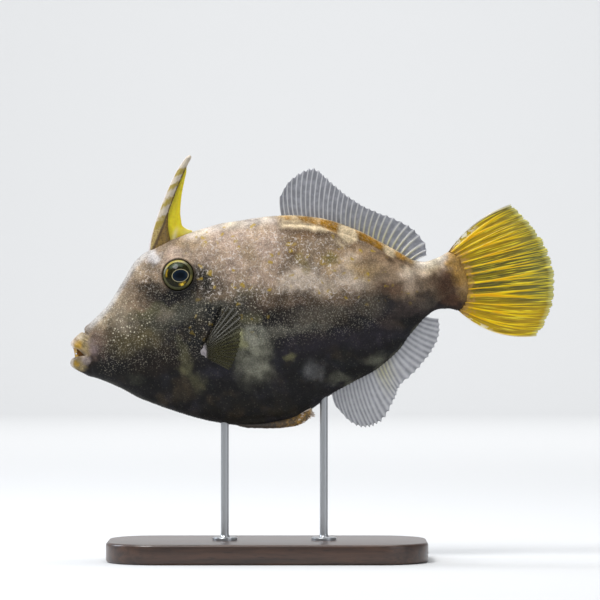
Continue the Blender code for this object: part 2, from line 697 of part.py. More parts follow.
def make_pectoral(name, side, fish):
    columns, rows = 2 * (PECTORAL_RAY_COUNT - 1), 4
    x, z = PECTORAL_AT
    spread = math.radians(PECTORAL_SPREAD_DEG)
    back = Vector((math.cos(spread), side * math.sin(spread), 0))
    out = Vector((-math.sin(spread), side * math.cos(spread), 0))
    origin = Vector((x, side * (flank_y(x, z) + PECTORAL_OFF_FLANK), z))
    high, low = math.radians(PECTORAL_FAN[0][0]), math.radians(PECTORAL_FAN[-1][0])
    lengths = [(-math.radians(a), reach) for a, reach in PECTORAL_FAN]

    def place(column, row):
        share = row / rows
        angle = high + (low - high) * column / columns
        reach = smooth(lengths, -angle)
        if column % 2:
            reach *= 1 - MARGIN_NOTCH
        root = origin + Vector((0, 0, PECTORAL_ROOT * (1 - 2 * column / columns)))
        ray = back * math.cos(angle) + Vector((0, 0, math.sin(angle)))
        return root + ray * reach * share + out * PECTORAL_CUP * share ** 2, out

    def thickness(column, row):
        return MEMBRANE_THICKNESS if column % 2 else tapered(PECTORAL_RAY_THICKNESS, row / rows)

    fan = put(name, shell(columns, rows, place, thickness), "clear_fin", fish)
    lobe = put("lobe", ellipsoid(origin, PECTORAL_LOBE, u=12, v=8), "clear_fin", fish)
    combine(fan, [lobe], "UNION")
    combine(fan, [swollen_body(fish)], "DIFFERENCE")
    return fan


def make_pelvic_flap(fish):
    rows = PELVIS_STATIONS

    def place(ring, side):
        x, z, height, width = rows[ring]
        angle = 2 * math.pi * (side + 0.5) / PELVIS_SIDES
        return Vector((x, width * math.sin(angle), z + height * math.cos(angle)))

    flap = put("pelvic_flap", wrapped(len(rows), PELVIS_SIDES, place), "pelvis", fish)
    barbs = []
    for x, z, rise in PELVIS_BARBS:
        for side in (-1, 1):
            root = Vector((x, side * PELVIS_BARB_OUT[0], z))
            lean = Vector((1, side * PELVIS_BARB_OUT[1], rise)).normalized()
            barb = cone(root, root + lean * PELVIS_BARB_LENGTH, PELVIS_BARB_RADIUS)
            barbs.append(put("barb", barb, "pelvis", fish))
    combine(flap, barbs, "UNION")
    combine(flap, [swollen_body(fish)], "DIFFERENCE")
    return flap


def make_base():
    """A plate with round corners, chamfered top and bottom."""
    long, wide, high = BASE_SIZE
    bm = bmesh.new()
    bmesh.ops.create_cube(bm, size=1.0)
    bmesh.ops.scale(bm, vec=(long, wide, high), verts=bm.verts[:])
    bmesh.ops.translate(bm, vec=(BASE_AT_X, 0, high / 2), verts=bm.verts[:])
    corners = [e for e in bm.edges if abs(e.verts[0].co.z - e.verts[1].co.z) > high / 2]
    bmesh.ops.bevel(
        bm, geom=corners, offset=BASE_CORNER, segments=8, profile=0.5, affect="EDGES", material=-1
    )
    rims = [e for e in bm.edges if {round(abs(f.normal.z)) for f in e.link_faces} == {0, 1}]
    bmesh.ops.bevel(
        bm, geom=rims, offset=BASE_CHAMFER, segments=1, profile=0.5, affect="EDGES", material=-1
    )
    return put("stand_base", bm, "base")


def world_belly_z(fish, world_x):
    """Height of the belly's keel above the floor at this x of the stand."""
    turned = fish.matrix_world
    keel = [turned @ (Vector((x, 0, belly_z(x))) * MM) for x in np.linspace(20, 140, 481)]
    return min(keel, key=lambda point: abs(point.x / MM - world_x)).z / MM


def make_rod(name, at_x, fish):
    """A slim rod with a foot, its top notched to the keel that it carries."""
    bottom = BASE_SIZE[2] + GAP
    top = world_belly_z(fish, at_x) + ROD_INTO_BODY
    shoulder = bottom + ROD_FOOT_HEIGHT
    profile = (
        (0, bottom), (ROD_FOOT_RADIUS, bottom), (ROD_FOOT_RADIUS, shoulder - ROD_FILLET),
        (ROD_RADIUS + ROD_FILLET, shoulder), (ROD_RADIUS, shoulder + ROD_FILLET), (ROD_RADIUS, top), (0, top),
    )
    bm = bmesh.new()
    line = [bm.verts.new((radius, 0, height)) for radius, height in profile]
    edges = [bm.edges.new(pair) for pair in zip(line, line[1:])]
    bmesh.ops.spin(
        bm, geom=line + edges, cent=(0, 0, 0), axis=(0, 0, 1), angle=2 * math.pi, steps=ROD_SIDES,
        use_merge=True,
    )
    bmesh.ops.remove_doubles(bm, verts=bm.verts[:], dist=1e-4)
    bmesh.ops.translate(bm, vec=(at_x, 0, 0), verts=bm.verts[:])
    rod = put(name, bm, "steel")
    combine(rod, [swollen_body(fish)], "DIFFERENCE")
    return rod


def main():
    for obj in list(bpy.data.objects):
        bpy.data.objects.remove(obj)
    fish = bpy.data.objects.new("fish_axis", None)
    bpy.context.scene.collection.objects.link(fish)
    fish.location = Vector(LIPS_AT) * MM
    fish.rotation_euler = (0, -math.radians(NOSE_DOWN_DEG), 0)
    bpy.context.view_layer.update()
    make_head(fish)
    make_trunk(fish)
    make_tail_stalk(fish)
    make_eye("eye_left", -1, fish)
    make_eye("eye_right", 1, fish)
    make_teeth("teeth_upper", True, fish)
    make_teeth("teeth_lower", False, fish)
    make_spine(fish)
    make_spine_membrane(fish)
    make_dorsal_fin(fish)
    make_anal_fin(fish)
    make_tail_fin(fish)
    make_pectoral("pectoral_fin_left", -1, fish)
    make_pectoral("pectoral_fin_right", 1, fish)
    make_pelvic_flap(fish)
    make_base()
    make_rod("stand_rod_front", FRONT_ROD_X, fish)
    make_rod("stand_rod_rear", REAR_ROD_X, fish)


main()
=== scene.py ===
import math

import bmesh
import bpy
import numpy as np
from mathutils import Matrix, Vector, noise


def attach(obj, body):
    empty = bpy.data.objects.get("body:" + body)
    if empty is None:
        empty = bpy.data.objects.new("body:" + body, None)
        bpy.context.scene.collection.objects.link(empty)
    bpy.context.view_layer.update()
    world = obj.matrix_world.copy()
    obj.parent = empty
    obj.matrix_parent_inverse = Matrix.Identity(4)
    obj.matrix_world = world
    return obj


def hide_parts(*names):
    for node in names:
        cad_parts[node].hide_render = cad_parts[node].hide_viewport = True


# Deep-bodied filefish, life size, over a plain display stand
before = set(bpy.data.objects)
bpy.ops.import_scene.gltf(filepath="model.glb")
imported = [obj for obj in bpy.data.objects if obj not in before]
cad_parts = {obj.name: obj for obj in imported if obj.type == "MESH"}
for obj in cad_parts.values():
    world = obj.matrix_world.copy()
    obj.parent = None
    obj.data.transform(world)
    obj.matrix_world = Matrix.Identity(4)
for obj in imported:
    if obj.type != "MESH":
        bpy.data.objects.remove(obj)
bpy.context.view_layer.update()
print("frame loaded:", len(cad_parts), "nodes")

# The fish has its own axes, in millimetres: x back from the lips, z up, its left side at -y
fish = {
    "lipsAt": (-96.94, 0.0, 82.0),
    "noseDown": 10.0,
    "coatDepth": 0.25,  # the skin lies this far inside the solid's flesh, and the spinules fill the rest
    "topLine": (
        (-0.6, -3.2), (0.3, 1.8), (1.6, 5.0), (3.9, 7.2), (7.0, 8.3), (8.4, 9.7), (19.4, 18.1),
        (27.5, 27.2),
        (33.0, 33.0), (38.0, 35.6), (47.0, 38.0), (57.0, 40.1), (70.0, 41.4), (80.0, 41.3), (92.0, 40.5),
        (107.0, 37.0), (121.0, 29.8), (136.6, 17.9), (142.2, 13.5), (146.5, 12.4), (152.0, 13.1),
        (156.0, 14.5),
    ),
    "bellyLine": (
        (-0.6, -4.4), (0.3, -6.8), (2.1, -8.4), (7.9, -10.5), (13.8, -14.0), (25.3, -22.5), (43.0, -32.4),
        (58.0, -38.6), (72.0, -41.4), (82.0, -41.3), (91.0, -38.4), (100.0, -34.0), (110.4, -30.4),
        (119.9, -27.2), (128.7, -22.1), (136.0, -15.4), (142.8, -10.0), (148.0, -7.8), (152.0, -8.2),
        (156.0, -9.7),
    ),
    "halfWidth": (
        (-0.6, 0.5), (0.3, 2.5), (1.6, 3.6), (3.9, 4.6), (6.2, 4.8), (7.2, 4.6), (8.6, 5.4), (20.0, 7.6),
        (33.0, 10.2), (46.0, 12.3), (60.0, 13.7), (74.0, 14.0), (90.0, 13.2), (105.0, 11.2), (120.0, 8.6),
        (135.0, 5.9), (146.0, 4.3), (156.0, 3.4),
    ),
    "rootX": 156.0,  # behind this the flesh ends in a half ellipse
    "rootReach": 5.8,
    "widest": 0.52,
    "backFull": 2.2,
    "bellyFull": ((-0.6, 2.3), (7.0, 2.1), (28.0, 1.8), (150.0, 1.75), (156.0, 2.1)),
}
fishToWorld = (
    Matrix.Translation(Vector(fish["lipsAt"]) * 0.001)
    @ Matrix.Rotation(-math.radians(fish["noseDown"]), 4, "Y")
    @ Matrix.Scale(0.001, 4)
)


def readCurve(rows, x, column=1):  # smooth through the rows, and never past them
    xs = np.array([row[0] for row in rows], float)
    ys = np.array([row[column] for row in rows], float)
    slope = np.diff(ys) / np.diff(xs)
    both = slope[:-1] + slope[1:]
    inner = np.where(
        slope[:-1] * slope[1:] > 0, 2 * slope[:-1] * slope[1:] / np.where(both == 0, 1, both), 0
    )
    tangent = np.concatenate(([slope[0]], inner, [slope[-1]]))
    x = np.clip(x, xs[0], xs[-1])
    i = np.clip(np.searchsorted(xs, x, side="right") - 1, 0, len(xs) - 2)
    step, rise = xs[i + 1] - xs[i], ys[i + 1] - ys[i]
    t = (x - xs[i]) / step
    bend = tangent[i] * t * (1 - t) ** 2 - tangent[i + 1] * t * t * (1 - t)
    return ys[i] + rise * t * t * (3 - 2 * t) + step * bend


def ease(low, high, value):
    t = np.clip((value - low) / (high - low), 0, 1)
    return t * t * (3 - 2 * t)


def mix(a, b, share):
    return a + (b - a) * share


def rootShare(x):
    return np.sqrt(np.clip(1 - ((x - fish["rootX"]) / fish["rootReach"]) ** 2, 0, 1))


rootMiddle = (fish["topLine"][-1][1] + fish["bellyLine"][-1][1]) / 2
rootHalf = (fish["topLine"][-1][1] - fish["bellyLine"][-1][1]) / 2


def backLine(x):
    return np.where(x > fish["rootX"], rootMiddle + rootHalf * rootShare(x), readCurve(fish["topLine"], x))


def bellyLine(x):
    return np.where(
        x > fish["rootX"], rootMiddle - rootHalf * rootShare(x), readCurve(fish["bellyLine"], x)
    )


def halfWidth(x):
    end = fish["halfWidth"][-1][1] * (0.25 + 0.75 * rootShare(x))
    return np.where(x > fish["rootX"], end, readCurve(fish["halfWidth"], x))


# the section's widest level, its reach and its exponent, above or below that level
def sectionParts(x, up):
    top, low = backLine(x), bellyLine(x)
    middle = low + (top - low) * fish["widest"]
    reach = np.where(up, top - middle, middle - low)
    power = np.where(up, fish["backFull"], readCurve(fish["bellyFull"], x))
    return middle, reach, power


def flankY(x, z):
    middle = bellyLine(x) + (backLine(x) - bellyLine(x)) * fish["widest"]
    middle, reach, power = sectionParts(x, z > middle)
    share = np.clip(np.abs(z - middle) / reach, 0, 1)
    return halfWidth(x) * (1 - share ** power) ** (1 / power)


def sectionPoint(x, turn, swell=0.0):  # turn runs from the back down the left side
    rise, out = np.cos(turn), np.sin(turn)
    middle, reach, power = sectionParts(x, rise > 0)
    y = -(halfWidth(x) + swell) * np.sign(out) * np.abs(out) ** (2 / power)
    z = middle + (reach + swell) * np.sign(rise) * np.abs(rise) ** (2 / power)
    return np.stack((x + 0 * turn, y, z), axis=-1)


def hexColour(code):  # sRGB hex to linear
    parts = [int(code[i:i + 2], 16) / 255 for i in (1, 3, 5)]
    return (*[c / 12.92 if c <= 0.04045 else ((c + 0.055) / 1.055) ** 2.4 for c in parts], 1.0)


def addNode(tree, kind, settings=None, links=None):  # a link is a node, or a node and which of its outputs
    node = tree.nodes.new("ShaderNode" + kind)
    for key, value in (settings or {}).items():
        if isinstance(key, str) and hasattr(node, key):
            setattr(node, key, value)
        else:
            node.inputs[key].default_value = value
    for key, source in (links or {}).items():
        giver, output = source if isinstance(source, tuple) else (source, 0)
        tree.links.new(giver.outputs[output], node.inputs[key])
    return node


def newMaterial(name, settings):
    made = bpy.data.materials.new(name)
    made.use_nodes = True
    tree = made.node_tree
    shader = tree.nodes["Principled BSDF"]
    for key, value in settings.items():
        shader.inputs[key].default_value = value
    return made, tree, shader


def fishPlace(tree):  # Object coordinates turned to the fish's axes, in millimetres
    back = fishToWorld.inverted()
    return addNode(tree, "Mapping", {
        "Location": back.to_translation(),
        "Rotation": (0, math.radians(fish["noseDown"]), 0),
        "Scale": (1000, 1000, 1000),
    }, {0: (addNode(tree, "TexCoord"), "Object")})


def pieceMarks(tree, name):  # the three parts of a mark that is kept on a piece's vertices
    mark = addNode(tree, "Attribute", {"attribute_name": name})
    return addNode(tree, "SeparateXYZ", None, {0: (mark, "Vector")})


def layColours(tree, base, layers):  # base is a node and output, each layer a share and a colour or a node
    for share, colour in layers:
        links = {0: share, 6: base}
        settings = {"data_type": "RGBA"}
        if isinstance(colour, str):
            settings[7] = hexColour(colour)
        else:
            links[7] = colour
        base = (addNode(tree, "Mix", settings, links), 2)
    return base


def vertexPlaces(bm):
    return np.array([v.co for v in bm.verts])


def moveVertices(bm, places):
    for vert, place in zip(bm.verts, places):
        vert.co = place


def setLayer(bm, name, rows):  # three numbers a vertex, which the mesh keeps as an attribute
    layer = bm.verts.layers.float_vector.new(name)
    for vert, row in zip(bm.verts, rows):
        vert[layer] = row


def closeUp(bm):
    bmesh.ops.remove_doubles(bm, verts=bm.verts[:], dist=1e-4)
    bmesh.ops.holes_fill(bm, edges=[e for e in bm.edges if e.is_boundary], sides=0)
    bmesh.ops.recalc_face_normals(bm, faces=bm.faces[:])


def finishPiece(name, bm, material, stands=(), place=fishToWorld, sharpOver=180.0):
    bmesh.ops.transform(bm, matrix=place, verts=bm.verts[:])
    mesh = bpy.data.meshes.new(name)
    bm.to_mesh(mesh)
    bm.free()
    mesh.shade_smooth()
    if sharpOver < 180:
        mesh.set_sharp_from_angle(angle=math.radians(sharpOver))
    return ridePiece(name, mesh, material, stands)


def ridePiece(name, mesh, material, stands=()):
    mesh.materials.append(material)
    made = bpy.data.objects.new(name, mesh)
    bpy.context.scene.collection.objects.link(made)
    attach(made, "root")
    if stands:
        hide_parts(*stands)
    return made


# The photograph's frame: millimetres to a pixel, and the pixel that the world's origin stands on
photograph = {"pixel": 0.4, "origin": (312.35, 560.0)}

# Markings, laid on in this order: where, how large, how strong, which colour
markings = {
    "colours": {
        "charcoal": "#111012", "midBrown": "#221A1B", "backTan": "#8C7862", "napePink": "#CCB29F",
        "paleEdgeAndRimLight": "#D2C6BC", "foreheadRimLight": "#B4B1AE", "snoutTan": "#A19178", "snoutPink": "#6A584E",
        "plumBrown": "#040404", "lipTan": "#968560", "lipOchre": "#9C7A1E", "cheekOlive": "#5A5137",
        "cheekTan": "#8F8373", "cheekGrey": "#504F45", "oliveYellow": "#6C694B", "jawBrown": "#1B120A",
        "plumDark": "#040404", "throatGreen": "#33342A", "lowBrown": "#3A3123", "inkBlue": "#27262F",
        "nearBlack": "#040404", "darkOlive": "#15191A", "bandBrown": "#6C5947", "midGrey": "#60584C",
        "streakGrey": "#726F63", "pecBright": "#98998C", "palePec": "#828171", "greenPec": "#F7F5B0",
        "inkPlum": "#26222A",
        "blueGrey": "#606060", "greenGrey": "#56564A", "pedGrey": "#4C413C", "patchBrown": "#583B2A",
        "pedPale": "#D9C4AC", "rootOchre": "#C09444", "paleTan": "#DFCDBA", "finBrownAndShade": "#7A5F42",
        "oliveTan": "#C5A57E", "ridgeCream": "#E2CCA6", "bellyBrown": "#1D1B13", "browHighlight": "#D8D3D2",
        "ridgeShade": "#5E4630", "lipPaleAndSheen": "#D3C8BC", "spineTan": "#967A4C", "streakOlive": "#8F7F3C",
        "lipPink": "#A3958F", "foldLilac": "#8C7C7C", "ridgeOchre": "#9C6E06",
    },
    # light above this line, dark below it, and how soft the change is along it
    "toneLine": (
        (8.0, 0.0, 7.0), (18.0, 6.0, 10.0), (29.3, 11.4, 11.0), (40.4, 18.0, 9.0), (48.0, 19.0, 8.0),
        (55.7, 15.0, 9.0), (63.4, 10.5, 11.0), (71.1, 8.8, 11.0), (83.0, 8.2, 10.0), (94.9, 7.6, 10.0),
        (106.9, 4.6, 10.0), (117.0, 2.2, 10.0), (127.0, 0.4, 9.0), (134.9, -1.2, 8.0), (142.2, -2.8, 7.0),
        (150.1, -3.8, 6.0), (162.0, -4.0, 6.0),
    ),
    "browning": (-15.0, -1.0),  # millimetres below that line, from charcoal to brown
    # picked on the photograph, in its pixels: x, y, half length, half height, strength, colour
    "blotches": (
        (230, 240, 44, 18, 0.75, "napePink"), (224, 266, 26, 12, 0.5, "napePink"),
        (320, 262, 52, 20, 0.5, "backTan"), (250, 275, 30, 14, 0.5, "napePink"),
        (108, 318, 22, 10, 0.8, "snoutTan"), (118, 300, 14, 9, 0.6, "snoutTan"),
        (152, 287, 18, 8, 0.85, "plumBrown"), (135, 270, 12, 8, 0.4, "snoutTan"),
        (97, 344, 11, 15, 0.9, "snoutPink"), (84, 343, 10, 11, 0.9, "lipTan"),
        (78, 364, 9, 8, 0.9, "lipTan"), (101, 365, 10, 8, 0.75, "plumBrown"),
        (138, 334, 30, 22, 0.85, "cheekOlive"), (127, 322, 14, 14, 0.6, "cheekTan"),
        (165, 318, 26, 12, 0.7, "cheekGrey"), (190, 312, 18, 12, 0.7, "cheekGrey"),
        (150, 312, 22, 6, 0.5, "oliveYellow"), (160, 362, 42, 13, 0.8, "jawBrown"),
        (122, 370, 13, 10, 0.85, "plumDark"), (152, 380, 14, 9, 0.85, "plumDark"),
        (135, 380, 9, 6, 0.6, "throatGreen"), (181, 350, 6, 10, 0.6, "oliveYellow"),
        (187, 366, 6, 10, 0.6, "oliveYellow"), (199, 380, 10, 10, 0.5, "oliveYellow"),
        (182, 395, 16, 8, 0.6, "lowBrown"), (172, 388, 8, 8, 0.6, "plumDark"),
        (216, 372, 16, 9, 0.8, "inkBlue"), (178, 292, 18, 7, 0.95, "nearBlack"),
        (205, 282, 9, 12, 0.75, "darkOlive"), (213, 315, 10, 18, 0.75, "darkOlive"),
        (203, 300, 12, 8, 0.6, "cheekGrey"), (244, 296, 16, 8, 0.5, "cheekGrey"),
        (240, 310, 14, 10, 0.5, "cheekGrey"), (285, 302, 34, 9, 0.6, "bandBrown"),
        (276, 314, 26, 8, 0.7, "plumBrown"), (322, 314, 34, 12, 0.7, "midGrey"),
        (290, 331, 34, 5, 0.6, "streakGrey"), (250, 352, 17, 27, 0.95, "palePec"),
        (254, 337, 10, 8, 0.5, "pecBright"), (257, 362, 8, 12, 0.4, "pecBright"),
        (240, 292, 14, 8, 0.35, "cheekGrey"), (241, 341, 7, 8, 0.7, "greenPec"),
        (262, 372, 10, 14, 0.5, "palePec"), (226, 352, 8, 12, 0.6, "darkOlive"),
        (305, 345, 30, 14, 0.8, "inkPlum"), (345, 342, 20, 10, 0.7, "inkPlum"),
        (375, 335, 26, 12, 0.75, "inkPlum"), (314, 371, 10, 11, 0.85, "blueGrey"),
        (345, 360, 16, 8, 0.6, "darkOlive"), (377, 357, 11, 7, 0.9, "greenGrey"),
        (338, 380, 12, 6, 0.8, "greenGrey"), (356, 371, 12, 5, 0.8, "nearBlack"),
        (395, 344, 12, 5, 0.85, "nearBlack"), (415, 319, 7, 6, 0.9, "nearBlack"),
        (405, 308, 16, 9, 0.7, "pedGrey"), (390, 322, 14, 8, 0.5, "pedGrey"),
        (345, 298, 26, 8, 0.6, "bandBrown"), (393, 290, 15, 7, 0.6, "patchBrown"),
        (365, 300, 14, 7, 0.5, "darkOlive"), (428, 270, 18, 8, 0.7, "pedPale"),
        (447, 283, 14, 13, 0.85, "patchBrown"), (425, 298, 10, 9, 0.75, "pedGrey"),
        (453, 300, 11, 8, 0.8, "patchBrown"), (408, 272, 12, 9, 0.7, "paleTan"),
        (344, 272, 11, 13, 0.7, "paleTan"), (300, 280, 24, 10, 0.7, "paleTan"),
        (372, 272, 16, 12, 0.4, "backTan"), (291, 252, 8, 10, 0.75, "finBrownAndShade"),
        # the brown band under the dorsal fin's sheath here is painted shade below the ridge
        (308, 237, 22, 5, 0.8, "finBrownAndShade"), (335, 262, 16, 12, 0.6, "oliveTan"),
        (360, 250, 16, 8, 0.5, "oliveTan"), (358, 262, 12, 10, 0.3, "oliveTan"),
        (345, 242, 14, 4, 0.8, "ridgeCream"), (382, 256, 24, 5, 0.5, "finBrownAndShade"),
        (330, 263, 7, 6, 0.75, "streakOlive"), (301, 261, 4, 6, 0.5, "streakOlive"),
        (307, 270, 4, 6, 0.5, "streakOlive"), (216, 286, 15, 9, 0.5, "darkOlive"),
        (152, 298, 12, 6, 0.55, "plumBrown"), (90, 361, 6, 6, 0.6, "jawBrown"),
        (240, 404, 44, 8, 0.6, "bellyBrown"), (300, 395, 34, 12, 0.7, "charcoal"),
        (275, 378, 22, 8, 0.5, "charcoal"), (262, 418, 66, 6, 0.7, "bellyBrown"),
        (288, 357, 4, 3, 0.8, "oliveYellow"), (372, 264, 34, 16, 0.3, "oliveTan"),
        (350, 258, 10, 7, 0.4, "paleTan"), (206, 277, 10, 14, 0.6, "darkOlive"),
        (155, 296, 14, 6, 0.75, "plumBrown"), (162, 314, 8, 6, 0.5, "cheekTan"),
        (358, 285, 14, 8, 0.5, "paleTan"), (270, 245, 12, 10, 0.5, "napePink"),
        (175, 252, 10, 5, 0.6, "napePink"), (413, 286, 10, 7, 0.2, "paleTan"),
        # the whitish patch on the brow is a painted highlight
        (152, 257, 9, 7, 0.95, "browHighlight"), (175, 259, 12, 6, 0.5, "napePink"),
        (255, 336, 4, 3.5, 0.8, "darkOlive"), (241, 343, 3.5, 3.5, 0.7, "oliveYellow"),
        (261, 345, 3.5, 3, 0.7, "darkOlive"), (249, 350, 3.5, 3, 0.6, "darkOlive"),
        (263, 357, 4, 3.5, 0.7, "darkOlive"), (222, 305, 9, 5, 0.5, "streakGrey"),
        (246, 318, 12, 7, 0.5, "oliveYellow"), (318, 285, 24, 8, 0.5, "paleTan"),
        (270, 252, 16, 16, 0.5, "napePink"), (189, 246, 12, 8, 0.6, "spineTan"),
        (453, 259, 9, 8, 0.7, "rootOchre"), (92, 360, 5, 7, 0.5, "jawBrown"),
        (258, 350, 10, 14, 0.6, "palePec"), (371, 308, 14, 9, 0.5, "midGrey"),
        (427, 301, 10, 7, 0.5, "midGrey"),
    ),
    # x, how much ochre along the dorsal fin's foot, how deep it and the cream under it reach
    "sheathOchre": (
        (91.0, 0.75, 2.4, 5.4), (96.0, 0.75, 2.4, 5.4), (98.0, 0.5, 2.4, 5.6), (100.0, 0.9, 2.8, 5.6),
        (104.0, 0.95, 3.2, 5.8), (108.0, 0.95, 3.8, 6.0), (110.4, 1.0, 4.7, 5.2), (113.4, 1.0, 5.0, 5.0),
        (115.8, 0.0, 1.0, 7.0), (119.8, 0.0, 1.0, 6.0), (122.2, 1.0, 3.7, 2.8), (129.8, 1.0, 3.6, 2.6),
        (132.0, 0.1, 1.5, 4.2), (133.8, 0.1, 1.5, 4.0), (135.4, 0.85, 3.0, 2.4), (141.0, 0.5, 2.4, 2.0),
    ),
    "lipPatches": (  # x, z, radius, strength, colour
        (10.0, 0.5, 2.6, 0.55, "foldLilac"), (9.4, 3.6, 2.2, 0.4, "foldLilac"),
        (6.2, -3.0, 2.4, 0.7, "lipPink"),
        # the pale patch on top of the upper lip is partly a painted highlight
        (5.0, 6.6, 2.2, 0.35, "lipPaleAndSheen"), (4.2, 3.5, 2.2, 0.85, "lipOchre"),
        (2.2, -4.0, 1.6, 0.85, "lipOchre"),
    ),
    "warp": (3.0, 0.12, 1.5, 0.45),  # how far the edges wander and how finely, twice
}


def noiseAt(points, scale, offset=0.0):
    shift = Vector((offset, 2 * offset, 3 * offset))
    return np.array([noise.noise(Vector(p) * scale + shift) for p in points])


def placeOnFish(px, py):  # from the photograph's pixels to the fish's own millimetres
    originX, originY = photograph["origin"]
    across = (px - originX) * photograph["pixel"] - fish["lipsAt"][0]
    up = (originY - py) * photograph["pixel"] - fish["lipsAt"][2]
    tilt = math.radians(fish["noseDown"])
    return across * math.cos(tilt) + up * math.sin(tilt), up * math.cos(tilt) - across * math.sin(tilt)


